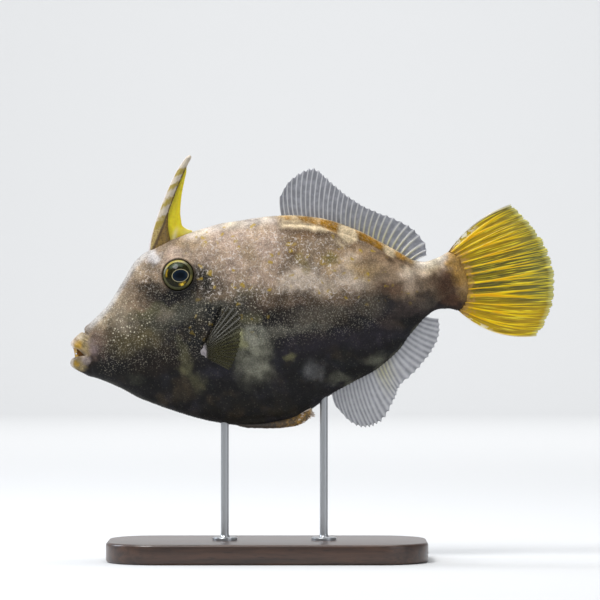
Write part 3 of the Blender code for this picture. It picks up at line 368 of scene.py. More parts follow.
def paintMarkings(points):  # colour, then how many pale strokes, pale dots and ochre spots at each place
    wide, fine, wideFine, fineFine = markings["warp"]
    x = points[:, 0] + wide * noiseAt(points, fine, 3.1) + wideFine * noiseAt(points, fineFine, 7.7)
    z = points[:, 2] + wide * noiseAt(points, fine, 11.3) + wideFine * noiseAt(points, fineFine, 19.4)
    palette = {name: np.array(hexColour(code)[:3]) for name, code in markings["colours"].items()}
    # the dark ground is the fish's own colour, made deeper as painted shade on its lower body
    colour = np.tile(palette["charcoal"], (len(points), 1))

    def lay(name, share):
        nonlocal colour
        colour = mix(colour, palette[name], np.clip(share, 0, 1)[:, None])

    soft = readCurve(markings["toneLine"], x, 2)
    jagged = 3.0 * noiseAt(points, 0.085, 27.0)
    above = z + jagged - readCurve(markings["toneLine"], x)
    light = ease(-soft / 2, soft / 2, above)
    lay("midBrown", ease(*markings["browning"], above))
    lay("backTan", light)
    # soft clouds of olive and ink in the dark half
    for name, offset, strength in (
        ("lowBrown", 61.0, 0.7), ("darkOlive", 67.0, 0.6), ("inkBlue", 71.0, 0.5)
    ):
        cloud = ease(0.0, 0.5, noiseAt(points, 0.13, offset) + 0.4 * noiseAt(points, 0.4, offset + 2))
        lay(name, strength * cloud * (1 - light) * ease(10, 30, x) * (1 - ease(130, 145, x)))
    for px, py, halfLong, halfHigh, strength, name in markings["blotches"]:
        blotX, blotZ = placeOnFish(px, py)
        away = np.hypot((x - blotX) / halfLong, (z - blotZ) / halfHigh) / photograph["pixel"]
        lay(name, strength * (1 - ease(0.35, 1.45, away)))
    px, pz = points[:, 0], points[:, 2]
    fromBack, fromBelly = backLine(px) - pz, pz - bellyLine(px)
    onNape = ease(50, 58, px) * (1 - ease(86, 94, px))
    onBrow = ease(6, 12, px) * (1 - ease(36, 42, px))
    onRoot = ease(139, 144, px) * (1 - ease(156, 160, px))
    # a pale band along the back: the tail root's own whitish colour, and on the nape a painted highlight
    # along the lit top edge
    lay(
        "paleEdgeAndRimLight",
        0.9 * (onNape + onRoot) * (1 - ease(1.0, 5.0, fromBack + 0.8 * noiseAt(points, 0.3, 5.0)))
    )
    # painted highlight along the lit top edge of the forehead
    lay("foreheadRimLight", 0.85 * onBrow * (1 - ease(0.8, 4.2, fromBack)))
    lay("throatGreen", 0.7 * ease(10, 15, px) * (1 - ease(30, 40, px)) * (1 - ease(0.3, 2.0, fromBelly)))
    # the sheath along the dorsal fin's base: a cream band broken by ochre, over a band of painted shade
    # below the ridge
    onSheath = ease(90, 94, px) * (1 - ease(139, 143, px))
    dashes, ochreTo, creamTo = (readCurve(markings["sheathOchre"], px, column) for column in (1, 2, 3))
    dashes = dashes + 0.5 * noiseAt(points * (1, 0, 0.4), 0.75, 41.0) + 0.3 * noiseAt(points, 1.5, 45.0)
    wavy = fromBack + 0.5 * noiseAt(points, 0.4, 43.0) + 0.4 * noiseAt(points, 1.3, 37.0)
    lay("ridgeShade", 0.6 * onSheath * (1 - ease(creamTo + 1.6, creamTo + 4.0, wavy)))
    lay("ridgeCream", 0.9 * onSheath * (1 - ease(creamTo - 1.2, creamTo + 0.9, wavy)))
    lay(
        "ridgeOchre",
        onSheath * np.clip(dashes, 0, 1) * ease(0.2, 1.0, wavy) * (
            1 - ease(ochreTo - 0.9, ochreTo + 0.6, wavy)
        )
    )
    rooted = px + 2.2 * noiseAt(points, 0.35, 47.0) + 0.9 * noiseAt(points, 1.3, 49.0)
    lay("paleEdgeAndRimLight", 0.8 * ease(144, 149, px) * (1 - ease(153, 157, px)) * (1 - ease(0.8, 4.0, fromBack)))
    lay("rootOchre", (0.3 + 0.5 * ease(-3, 7, pz)) * ease(154.5, 160.0, rooted + 0.15 * pz))
    onFront = ease(91, 95, px) * (1 - ease(108, 114, px))
    # painted shade in the groove below the front of the sheath
    lay("ridgeShade", 0.35 * onFront * ease(2.8, 3.2, wavy) * (1 - ease(3.4, 4.0, wavy)))
    onSeam = ease(100, 104, px) * (1 - ease(138, 142, px))
    lay(
        "greenGrey",
        0.85 * onSeam * (1 - ease(0.7, 1.9, fromBelly)) * ease(-0.2, 0.2, noiseAt(points, 0.35, 9.0))
    )
    for lx, lz, r, strength, name in markings["lipPatches"]:
        away = np.hypot(px - lx, pz - lz) + 0.5 * noiseAt(points, 0.9, 57.0)
        lay(name, strength * (1 - ease(0.3, 1.2, away / r)))
    fromFront = px - 0.3 - 0.2 * pz
    # the lips' front rims made paler: partly their own pale colour, partly a painted highlight
    lay("lipPaleAndSheen", 0.6 * (1 - ease(0.5, 2.0, fromFront)))
    # painted shadow of the socket: a dark ring round the eye, strongest under and behind it
    fromEye = np.hypot(px - eye["at"][0], pz - eye["at"][1])
    lowSide = ease(-0.2, 0.9, (0.35 * (px - eye["at"][0]) - (pz - eye["at"][1])) / np.maximum(fromEye, 1))
    lay("nearBlack", (0.12 + 0.78 * lowSide) * (1 - ease(6.6, 9.2 + 2.5 * lowSide, fromEye)))
    mottle = noiseAt(points, 0.19, 31.0) + 0.6 * noiseAt(points, 0.47, 35.0)
    colour = colour * (1 + 0.42 * np.clip(mottle, -0.9, 0.9))[:, None]
    olive = np.clip(
        1.6 * noiseAt(points, 0.11, 53.0), 0, 1
    )[:, None] * light[:, None] * ease(50, 60, px)[:, None]
    colour = colour * mix(1, np.array((0.98, 0.97, 0.82)), olive)
    onCheek = 1 - ease(0.5, 1.2, np.sqrt(((px - 25) / 12) ** 2 + ((pz - 8) / 11) ** 2))
    onFace = 1 - ease(0.5, 1.2, np.sqrt(((px - 36) / 9) ** 2 + ((pz - 27) / 9) ** 2))
    offEye = ease(6.6, 7.6, fromEye)
    offBack = ease(3.0, 7.0, fromBack - 3 * onSheath)
    strokes = offEye * np.maximum(
        light * offBack * ease(52, 60, px) * (1 - ease(104, 126, px)), 0.6 * onFace
    )
    onGill = 1 - ease(0.5, 1.2, np.sqrt(((px - 66) / 22) ** 2 + ((pz - 5) / 11) ** 2))
    sparse = 0.04 + 0.16 * ease(-14, -6, pz) * (1 - ease(118, 132, px))
    dots = offEye * ease(8, 14, px) * np.maximum(sparse, np.maximum(onCheek, 0.5 * onGill))
    ochre = light * ease(50, 60, px) * (1 - ease(136, 146, px)) * ease(1.0, 2.0, fromBack - 4 * onSheath)
    ochre = ochre + 0.6 * onGill * (1 - light)
    return np.clip(colour, 0, 1), strokes, dots, ochre


# The skin: one surface from inside the mouth, over the lips and back to the tail's root
skin = {
    "rings": (10, 26, 70, 292),  # where the throat, the lips, the snout and the body end
    "around": 224,
    "snoutEnd": 9.0,
    "ringX": ((0.0, 9.0), (0.33, 60.0), (0.93, 156.0), (1.0, 161.7)),
    "lipRadius": (1.8, 2.25, 0.75),  # upper and lower at the front, and at the corner
    "lipBulge": 0.15, "lipGrip": 0.25, "lipFlat": 0.22,
    "lipFront": (2.85, 1.75),  # of the rolls' middle lines, upper and lower
    "gapeUpper": (1.6, 2.7), "gapeLower": (1.6, -1.5), "gapeCorner": (6.9, -1.35), "gapeBend": (1.9, 1.0),
    "lipTurn": (200.0, -45.0),  # round the roll, from the inside to the outside
    "throatAt": (2.9, -0.1), "throatSize": (2.1, 1.3),
    "unwrapRows": ((0, 0.0), (10, 0.02), (26, 0.06), (70, 0.12), (292, 1.0)),
    "seed": 11,
}
eye = {
    "at": (48.6, 23.7), "radius": 6.4, "depth": 3.9, "sunk": 0.5, "axis": (-0.08, 1.0, 0.15),
    "pupilAt": (1.0, -0.75), "pupil": (3.0, 2.3),
}


def gapeZ(x, upper):
    cornerX, cornerZ = skin["gapeCorner"]
    z = []
    for (edgeX, edgeZ), bend in zip((skin["gapeUpper"], skin["gapeLower"]), skin["gapeBend"]):
        share = np.clip((x - edgeX) / (cornerX - edgeX), 0, 1) ** bend
        z.append(mix(edgeZ, cornerZ, share))
    return np.where(upper, z[0], z[1])


def lipRoll(turn, bend):  # a point of the roll round the gape, bend degrees from its outermost line
    side = np.where(turn < math.pi, -1.0, 1.0)
    fold = np.where(turn < math.pi, turn, 2 * math.pi - turn)
    upper = fold < math.pi / 2
    share = np.where(upper, fold, math.pi - fold) / (math.pi / 2)
    frontRadius = np.where(upper, skin["lipRadius"][0], skin["lipRadius"][1])
    radius = mix(frontRadius, skin["lipRadius"][2], share ** 1.5)
    front = np.where(upper, skin["lipFront"][0], skin["lipFront"][1])
    past = np.clip((share - skin["lipFlat"]) / (1 - skin["lipFlat"]), 0, 1)
    x = front + (skin["gapeCorner"][0] - front) * (1 - np.cos(past * math.pi / 2))
    away = (radius - skin["lipGrip"]) * (1 - share ** 6)
    z = gapeZ(x, upper) + np.where(upper, away, -away)
    rounding = np.sin(np.clip(share / skin["lipFlat"], 0, 1) * math.pi / 2)
    y = side * np.maximum(flankY(x, z) - radius + skin["lipBulge"], 0.9) * rounding
    slope = (flankY(x + 0.3, z) - flankY(x - 0.3, z)) / 0.6
    out = np.stack((-(1 - rounding) - slope * rounding, side * rounding, 0 * x), axis=-1)
    out /= np.linalg.norm(out, axis=-1, keepdims=True)
    lean = share ** 5
    into = np.stack((-lean, 0 * x, np.where(upper, -1.0, 1.0) * (1 - lean)), axis=-1)
    into /= np.linalg.norm(into, axis=-1, keepdims=True)
    angle = np.radians(bend)[:, None]
    middle = np.stack((x, y, z), axis=-1)
    point = middle + radius[:, None] * (out * np.cos(angle) + into * np.sin(angle))
    onward = out * np.sin(angle) - into * np.cos(angle)
    return point, onward


def ontoSection(points):  # pushed in or out to the body's section at the same x
    x = np.clip(points[:, 0], 0.4, None)
    middle = bellyLine(x) + (backLine(x) - bellyLine(x)) * fish["widest"]
    middle, reach, power = sectionParts(x, points[:, 2] > middle)
    y, z = points[:, 1], points[:, 2] - middle
    size = (np.abs(y) / halfWidth(x)) ** power + (np.abs(z) / reach) ** power
    grow = np.clip(size, 0.05, 20) ** (-1 / power)
    return np.stack((points[:, 0], y * grow, middle + z * grow), axis=-1)


def skinPlace(ring, turn):  # ring may lie between two rings
    throatEnd, lipEnd, snoutEnd, bodyEnd = skin["rings"]
    made = np.zeros((len(ring), 3))
    part = ring < throatEnd
    share = (ring[part] / throatEnd)[:, None]
    rim, _ = lipRoll(turn[part], np.full(part.sum(), skin["lipTurn"][0]))
    wide, high = skin["throatSize"]
    x, z = skin["throatAt"]
    deep = np.stack((
        np.full(part.sum(), x), -np.sin(turn[part]) * wide, z + np.cos(turn[part]) * high,
    ), axis=-1)
    made[part] = mix(deep, rim, share ** 0.8)
    part = (ring >= throatEnd) & (ring < lipEnd)
    share = (ring[part] - throatEnd) / (lipEnd - throatEnd)
    made[part] = lipRoll(turn[part], mix(*skin["lipTurn"], share))[0]
    part = (ring >= lipEnd) & (ring < snoutEnd)
    t = ((ring[part] - lipEnd) / (snoutEnd - lipEnd))[:, None]
    start, onward = lipRoll(turn[part], np.full(part.sum(), skin["lipTurn"][1]))
    endX = np.full(part.sum(), skin["snoutEnd"])
    end = sectionPoint(endX, turn[part])
    after = sectionPoint(endX + 0.5, turn[part]) - end
    after /= np.linalg.norm(after, axis=-1, keepdims=True)
    span = np.linalg.norm(end - start, axis=-1, keepdims=True)
    squared, cubed = t * t, t * t * t
    path = (
        start * (2 * cubed - 3 * squared + 1) + onward * span * (cubed - 2 * squared + t)
        + end * (3 * squared - 2 * cubed) + after * span * (cubed - squared)
    )
    onBody = ease(0.4, 0.85, t) * ease(3.0, 6.0, path[:, :1])
    made[part] = mix(path, ontoSection(path), onBody)
    part = ring >= snoutEnd
    x = readCurve(skin["ringX"], (ring[part] - snoutEnd) / (bodyEnd - snoutEnd))
    made[part] = sectionPoint(x, turn[part], -fish["coatDepth"] * ease(10, 20, x))
    return made


# Creases, folds and pores of the skin, as lines and places on the flank
relief = {
    "creases": (  # points, depth, half width
        (((63.2, 8.6), (61.0, 4.6), (57.2, -0.8), (53.8, -5.6)), 1.5, 0.55),  # gill slit
        (((58.6, 8.6), (56.2, 3.4), (52.6, -1.0), (49.2, -4.8)), 0.35, 0.7),
        (((42.5, 17.6), (37.0, 15.2), (32.0, 12.4)), 0.3, 0.6),
        (((43.5, 15.4), (38.5, 13.0), (33.4, 8.6)), 0.35, 0.5),
        (((40.6, 20.0), (36.8, 19.4), (33.0, 16.0)), 0.2, 0.6),
        (((60.5, -36.0), (70.0, -38.2), (80.0, -38.6), (88.0, -37.2)), 0.25, 0.6),
        (((6.2, 9.4), (7.2, 8.2), (8.4, 7.2)), 0.8, 0.45),  # behind the upper lip
        (((8.8, 6.3), (10.0, 3.6), (10.4, 0.4), (9.8, -3.4)), 0.16, 0.6),
    ),
    "mouthFolds": {"at": (4.8, -0.6), "from": 4.4, "to": 9.4, "pitch": 1.25, "height": 0.2},
    # x, z, radius, depth
    "pores": ((16.7, 11.8, 0.5, 0.35), (34.1, 22.5, 0.6, 0.9), (37.0, 23.5, 0.6, 0.9)),
    "poreRim": 0.32,
    "orbitRim": (6.95, 0.62, 0.75),  # radius, half width, height
    "orbitSwell": (10.5, 7.0, 0.8),
    "socket": (6.36, 6.2, 4.4),
    "eyeFolds": ((7.9, 0.3, -0.12), (8.6, 0.4, 0.1)),
    # below the back: at, half width, height
    "sheath": ((1.4, 0.9, 0.5), (3.6, 0.6, -0.35), (5.2, 0.9, 0.22)),
    "sheathPitch": 2.0,
    "pectoralBase": (52.6, -7.6, 2.4, 0.9),
    "spineMound": (45.0, 35.0, 8.0, 0.35), "snoutTip": (8.6, 9.6, 1.7, 0.55),
}


def awayFromLine(x, z, line):
    best = np.full(len(x), 1e9)
    for (ax, az), (bx, bz) in zip(line, line[1:]):
        dx, dz = bx - ax, bz - az
        t = np.clip(((x - ax) * dx + (z - az) * dz) / (dx * dx + dz * dz), 0, 1)
        best = np.minimum(best, np.hypot(x - ax - dx * t, z - az - dz * t))
    return best


def reliefAt(points):
    x, z = points[:, 0], points[:, 2]
    height = 0.14 * noiseAt(points, 0.14, 2.0) + 0.06 * noiseAt(points, 0.5, 6.0)
    height *= ease(6, 20, x) * (1 - ease(150, 158, x))
    for line, depth, wide in relief["creases"]:
        height -= depth * np.exp(-((awayFromLine(x, z, line) / wide) ** 2))
    folds = relief["mouthFolds"]
    reach = np.hypot(x - folds["at"][0], (z - folds["at"][1]) * 0.8)
    amount = ease(
        folds["from"] - 0.6, folds["from"] + 0.8, reach
    ) * (1 - ease(folds["to"] - 1.5, folds["to"], reach))
    behind = ease(5.5, 7.5, x) * (1 - ease(4.5, 8.5, np.abs(z)))
    height += folds["height"] * amount * behind * np.cos(2 * math.pi * reach / folds["pitch"])
    for px, pz, radius, depth in relief["pores"]:
        away = np.hypot(x - px, z - pz)
        height -= depth * np.exp(-((away / radius) ** 2) * 1.6)
        height += relief["poreRim"] * np.exp(-(((away - 1.7 * radius) / (0.6 * radius)) ** 2))
    fromBack = backLine(x) - z
    onSheath = ease(90, 94, x) * (1 - ease(140, 144, x))
    for at, wide, high in relief["sheath"]:
        ripple = 1 + 0.3 * np.sin(2 * math.pi * x / relief["sheathPitch"])
        height += high * ripple * onSheath * np.exp(-(((fromBack - at) / wide) ** 2))
    for px, pz, radius, high in (relief["pectoralBase"], relief["spineMound"], relief["snoutTip"]):
        height += high * np.exp(-(np.hypot(x - px, z - pz) / radius) ** 2)
    return height


def eyeAxes(side):
    axis = Vector((eye["axis"][0], side * eye["axis"][1], eye["axis"][2])).normalized()
    x, z = eye["at"]
    y = side * (float(flankY(np.array([x]), np.array([z]))[0]) - eye["sunk"])
    return np.array(axis), np.array((x, y, z))


def shapeOrbit(points):
    rimAt, rimWide, rimHigh = relief["orbitRim"]
    swellFrom, swellTo, swellHigh = relief["orbitSwell"]
    edge, floorAt, socketDeep = relief["socket"]
    for side in (-1, 1):
        axis, centre = eyeAxes(side)
        rel = points - centre
        outward = rel @ axis
        radial = rel - outward[:, None] * axis
        reach = np.linalg.norm(radial, axis=1)
        near = (points[:, 1] * side > 0.5) & (reach < swellFrom)
        lift = swellHigh * (1 - ease(swellTo, swellFrom, reach))
        lift += rimHigh * np.exp(-(((reach - rimAt) / rimWide) ** 2))
        above = ease(-0.35, 0.35, radial[:, 2] / np.maximum(reach, 0.1))
        for foldAt, foldWide, foldHigh in relief["eyeFolds"]:
            lift += foldHigh * above * np.exp(-(((reach - foldAt) / foldWide) ** 2))
        level = outward + lift
        level = mix(level, -socketDeep, 1 - ease(floorAt, edge, reach))
        moved = centre + radial + level[:, None] * axis
        points[near] = moved[near]
    return points


def buildSkin():
    throatEnd, lipEnd, _, lastRing = skin["rings"]
    bm = bmesh.new()
    bmesh.ops.create_grid(bm, x_segments=lastRing, y_segments=skin["around"], size=0.5)
    eyeX, eyeZ = eye["at"]

    def ringTurn():
        flat = vertexPlaces(bm)
        return (flat[:, 0] + 0.5) * lastRing, (flat[:, 1] + 0.5) * 2 * math.pi

    slit = relief["creases"][0][0]
    for step in range(2):  # twice as fine round the eyes, and once round the pores and the gill slits
        places = skinPlace(*ringTurn())
        x, z = places[:, 0], places[:, 2]
        fromEye = np.hypot(x - eyeX, z - eyeZ)
        chosen = fromEye < 9.2
        if step == 0:
            chosen |= awayFromLine(x, z, slit) < 1.8
            for px, pz, *_ in relief["pores"]:
                chosen |= np.hypot(x - px, z - pz) < 2.2
        else:
            chosen = (fromEye < 8.2) & (fromEye > 5.4)
        bm.verts.index_update()
        edges = [e for e in bm.edges if chosen[e.verts[0].index] and chosen[e.verts[1].index]]
        bmesh.ops.subdivide_edges(bm, edges=edges, cuts=1, use_grid_fill=True)
    uv = bm.loops.layers.uv.new("OFBake")
    rings, turns = ringTurn()
    across, turnShare = readCurve(skin["unwrapRows"], rings), turns / (2 * math.pi)
    bm.verts.index_update()
    for face in bm.faces:
        for loop in face.loops:
            loop[uv].uv = (across[loop.vert.index], turnShare[loop.vert.index])
    places = skinPlace(rings, turns)
    colour, strokes, dots, ochre = paintMarkings(places)
    inside = 1 - ease(throatEnd - 1, throatEnd + 5, rings)
    onLip = 1 - ease(lipEnd - 2, lipEnd + 12, rings)
    moveVertices(bm, places)
    setLayer(bm, "markings", colour)
    setLayer(
        bm, "skinMarks",
        np.stack((strokes, ochre, 0.5 * onLip + 0.5 * inside - dots * (1 - onLip)), axis=-1)
    )
    closeUp(bm)
    plain = vertexPlaces(bm)
    normals = np.array([v.normal for v in bm.verts])
    moveVertices(bm, shapeOrbit(plain + normals * reliefAt(plain)[:, None]))
    return finishPiece("skin", bm, skinMaterial(), ("head", "trunk", "tail_stalk"))


def skinMaterial():
    # Filefish skin: close-set tiny spiny scales under a film of slime, so velvet with a damp gleam, and
    # smooth wet lips
    look = {
        "strokePitch": 1.75, "strokeHalf": 0.11, "strokeGate": 1.15,  # millimetres
        "dotPitch": 1.2, "dotRadius": 0.3, "gritPitch": 0.55, "ochrePitch": 4.0, "ochreRadius": 0.82,
        "wander": 2.2,
        "scalePitch": 0.62,  # real scales are about half of this, drawn coarser so that they show
        # grain is the colour of the painted highlight on the scales' crests
        "stroke": "#E2D8D0", "dot": "#DCD3BA", "ochre": "#A98D2C", "grain": "#B9B3A4", "pepper": "#15110F",
        "mouth": "#6E4716",
    }
    made, tree, shader = newMaterial("velvetyScaleSkin", {
        "IOR": 1.36, "Specular IOR Level": 0.3, "Coat Weight": 0.05, "Coat Roughness": 0.3,
    })
    place = fishPlace(tree)
    given = addNode(tree, "Attribute", {"attribute_name": "skinMarks"})
    marks = addNode(tree, "SeparateXYZ", None, {0: (given, "Vector")})
    colour = (addNode(tree, "Attribute", {"attribute_name": "markings"}), "Vector")
    lip = addNode(tree, "MapRange", {1: 0.0, 2: 0.4}, {0: (marks, 2)})
    bare = addNode(tree, "MapRange", {1: 0.0, 2: 0.4, 3: 1.0, 4: 0.0}, {0: (marks, 2)})
    inside = addNode(tree, "MapRange", {1: 0.55, 2: 0.95}, {0: (marks, 2)})
    dotted = addNode(tree, "MapRange", {1: 0.0, 2: -1.0}, {0: (marks, 2)})
    cloud = addNode(tree, "TexNoise", {"Scale": 0.33, "Detail": 4.0, "Roughness": 0.62}, {"Vector": place})
    shade = addNode(tree, "MapRange", {1: 0.3, 2: 0.7, 3: 0.7, 4: 1.3}, {0: cloud})
    colour = (addNode(tree, "VectorMath", {"operation": "SCALE"}, {0: colour, "Scale": shade}), 0)
    grit = addNode(tree, "TexNoise", {"Scale": 1 / look["gritPitch"], "Detail": 1.0}, {"Vector": place})
    grit = addNode(tree, "MapRange", {1: 0.3, 2: 0.7, 3: 0.84, 4: 1.16}, {0: grit})
    grit = addNode(tree, "Mix", {"data_type": "FLOAT", 3: 1.0}, {0: lip, 2: grit})
    colour = (addNode(tree, "VectorMath", {"operation": "SCALE"}, {0: colour, "Scale": grit}), 0)
    grains = addNode(tree, "TexVoronoi", {"Scale": 1 / look["scalePitch"]}, {"Vector": place})
    pepper = addNode(tree, "MapRange", {1: 0.25, 2: 0.62, 4: 0.26}, {0: grains})
    pepper = addNode(tree, "Math", {"operation": "MULTIPLY"}, {0: pepper, 1: bare})
    # short pale strokes: bits of a bent network, kept where another noise is high
    bend = addNode(tree, "TexNoise", {"Scale": 1 / look["wander"], "Detail": 0.0}, {"Vector": place})
    bent = addNode(
        tree, "VectorMath", {"operation": "MULTIPLY_ADD", 1: (2.6, 2.6, 2.6)},
        {0: (bend, "Color"), 2: place}
    )
    network = addNode(
        tree, "TexVoronoi", {"feature": "DISTANCE_TO_EDGE", "Scale": 1 / look["strokePitch"]},
        {"Vector": bent}
    )
    half = look["strokeHalf"] / look["strokePitch"]
    line = addNode(tree, "MapRange", {1: half * 1.35, 2: half * 0.65}, {0: network})
    gate = addNode(tree, "TexNoise", {"Scale": 1 / look["strokeGate"], "Detail": 0.0}, {"Vector": place})
    gate = addNode(tree, "MapRange", {1: 0.5, 2: 0.56}, {0: gate})
    some = addNode(tree, "MapRange", {1: 0.36, 2: 0.64, 3: 0.1, 4: 0.9}, {0: cloud})
    stroke = addNode(tree, "Math", {"operation": "MULTIPLY"}, {0: line, 1: gate})
    stroke = addNode(tree, "Math", {"operation": "MULTIPLY"}, {0: stroke, 1: some})
    stroke = addNode(tree, "Math", {"operation": "MULTIPLY"}, {0: stroke, 1: (marks, 0)})
    cells = addNode(tree, "TexVoronoi", {"Scale": 1 / look["dotPitch"]}, {"Vector": place})
    size = look["dotRadius"] / look["dotPitch"]
    dot = addNode(tree, "MapRange", {1: size * 1.3, 2: size * 0.6}, {0: cells})
    chance = addNode(tree, "SeparateColor", None, {0: (cells, "Color")})
    chosen = addNode(tree, "MapRange", {1: 0.0, 2: 0.55, 4: 0.9}, {0: chance})
    dot = addNode(tree, "Math", {"operation": "MULTIPLY"}, {0: dot, 1: chosen})
    dot = addNode(tree, "Math", {"operation": "MULTIPLY"}, {0: dot, 1: dotted})
    spots = addNode(tree, "TexVoronoi", {"Scale": 1 / look["ochrePitch"]}, {"Vector": bent})
    size = look["ochreRadius"] / look["ochrePitch"]
    spot = addNode(tree, "MapRange", {1: size * 1.4, 2: size * 0.6}, {0: spots})
    chance = addNode(tree, "SeparateColor", None, {0: (spots, "Color")})
    chosen = addNode(tree, "MapRange", {1: 0.2, 2: 0.4, 4: 0.85}, {0: chance})
    ochre = addNode(tree, "Math", {"operation": "MULTIPLY"}, {0: spot, 1: chosen})
    # painted highlight: on the dark flank the scales' crests are painted with fine pale grain, as if
    # catching the light
    paintedGlintOn = addNode(tree, "MapRange", {1: 0.06, 2: 0.18, 4: 0.4}, {0: dotted})
    grain = addNode(tree, "MapRange", {1: 0.34, 2: 0.14}, {0: grains})
    grain = addNode(tree, "Math", {"operation": "MULTIPLY"}, {0: grain, 1: paintedGlintOn})
    onLight = addNode(tree, "MapRange", None, {0: (marks, 1)})
    ochre = addNode(tree, "Math", {"operation": "MULTIPLY"}, {0: ochre, 1: onLight})
    colour = layColours(tree, colour, (
        (pepper, look["pepper"]), (ochre, look["ochre"]), (grain, look["grain"]), (stroke, look["stroke"]),
        (dot, look["dot"]), (inside, look["mouth"]),
    ))
    tree.links.new(colour[0].outputs[colour[1]], shader.inputs["Base Color"])
    rough = addNode(tree, "MapRange", {1: 0.35, 2: 0.65, 3: 0.6, 4: 0.46}, {0: cloud})
    rough = addNode(tree, "Mix", {"data_type": "FLOAT", 3: 0.27}, {0: lip, 2: rough})
    tree.links.new(rough.outputs[0], shader.inputs["Roughness"])
    dome = addNode(tree, "MapRange", {1: 0.6, 2: 0.0}, {0: grains})
    dome = addNode(tree, "Math", {"operation": "MULTIPLY"}, {0: dome, 1: bare})
    rise = addNode(tree, "Math", {"operation": "MULTIPLY_ADD", 1: 1.5}, {0: cloud, 2: dome})
    rise = addNode(tree, "Math", {"operation": "MULTIPLY_ADD", 1: 0.6}, {0: stroke, 2: rise})
    bump = addNode(tree, "Bump", {"Strength": 0.6, "Distance": 0.00018}, {"Height": rise})
    tree.links.new(bump.outputs[0], shader.inputs["Normal"])
    return made


skinPiece = buildSkin()
print("skin:", len(skinPiece.data.polygons), "faces")

# Coat: the little spines of the scales, which lean back and make the skin velvet
coat = {
    "pieces": ("coat_front", "coat_middle", "coat_rear"), "count": 96000, "radius": 0.085,
    "length": (0.26, 0.44),
    "lean": 0.75, "sunk": 0.06, "seed": 7, "patch": 0.003, "from": 12.5, "full": 26.0,
}
bristles = {  # longer ones on both sides of the tail stalk
    "count": 1900, "radius": 0.07, "length": (0.9, 1.7), "lean": 1.0, "at": (147.5, 1.0),
    "reach": (11.0, 7.5),
    "seed": 13,
}


def skinSamples(skinMesh, count, seed, densityAt):  # roots spread evenly over the skin, with its own marks
    skinMesh.calc_loop_triangles()
    triangles = skinMesh.loop_triangles
    corners = np.zeros(len(triangles) * 3, np.int32)
    triangles.foreach_get("vertices", corners)
    loops = np.zeros(len(triangles) * 3, np.int32)
    triangles.foreach_get("loops", loops)
    corners, loops = corners.reshape(-1, 3), loops.reshape(-1, 3)

    def vertexRows(source, field):
        rows = np.zeros(len(skinMesh.vertices) * 3, np.float32)
        source.foreach_get(field, rows)
        return rows.reshape(-1, 3)

    places = vertexRows(skinMesh.vertices, "co")
    normals = vertexRows(skinMesh.vertex_normals, "vector")
    colours = vertexRows(skinMesh.attributes["markings"].data, "vector")
    marks = vertexRows(skinMesh.attributes["skinMarks"].data, "vector")
    unwrap = np.zeros(len(skinMesh.loops) * 2, np.float32)
    skinMesh.uv_layers["OFBake"].data.foreach_get("uv", unwrap)
    unwrap = unwrap.reshape(-1, 2)
    ofFish = np.array(fishToWorld.inverted())
    fishRows = places @ ofFish[:3, :3].T + ofFish[:3, 3]
    a, b, c = (places[corners[:, k]] for k in range(3))
    area = np.linalg.norm(np.cross(b - a, c - a), axis=1) * densityAt(
        fishRows[corners].mean(axis=1), marks[corners].mean(axis=1)
    )
    total = np.cumsum(area)
    dice = np.random.default_rng(seed)
    picks = (np.arange(count) + dice.uniform(0, 1, count)) / count * total[-1]
    chosen = np.searchsorted(total, picks)
    u, v = dice.uniform(0, 1, (2, count))
    over = u + v > 1
    u, v = np.where(over, 1 - u, u), np.where(over, 1 - v, v)
    weights = np.stack((1 - u - v, u, v), axis=-1)[:, :, None]
    return [(rows[picked[chosen]] * weights).sum(axis=1) for rows, picked in (
        (places, corners), (normals, corners), (colours, corners), (marks, corners), (unwrap, loops))]


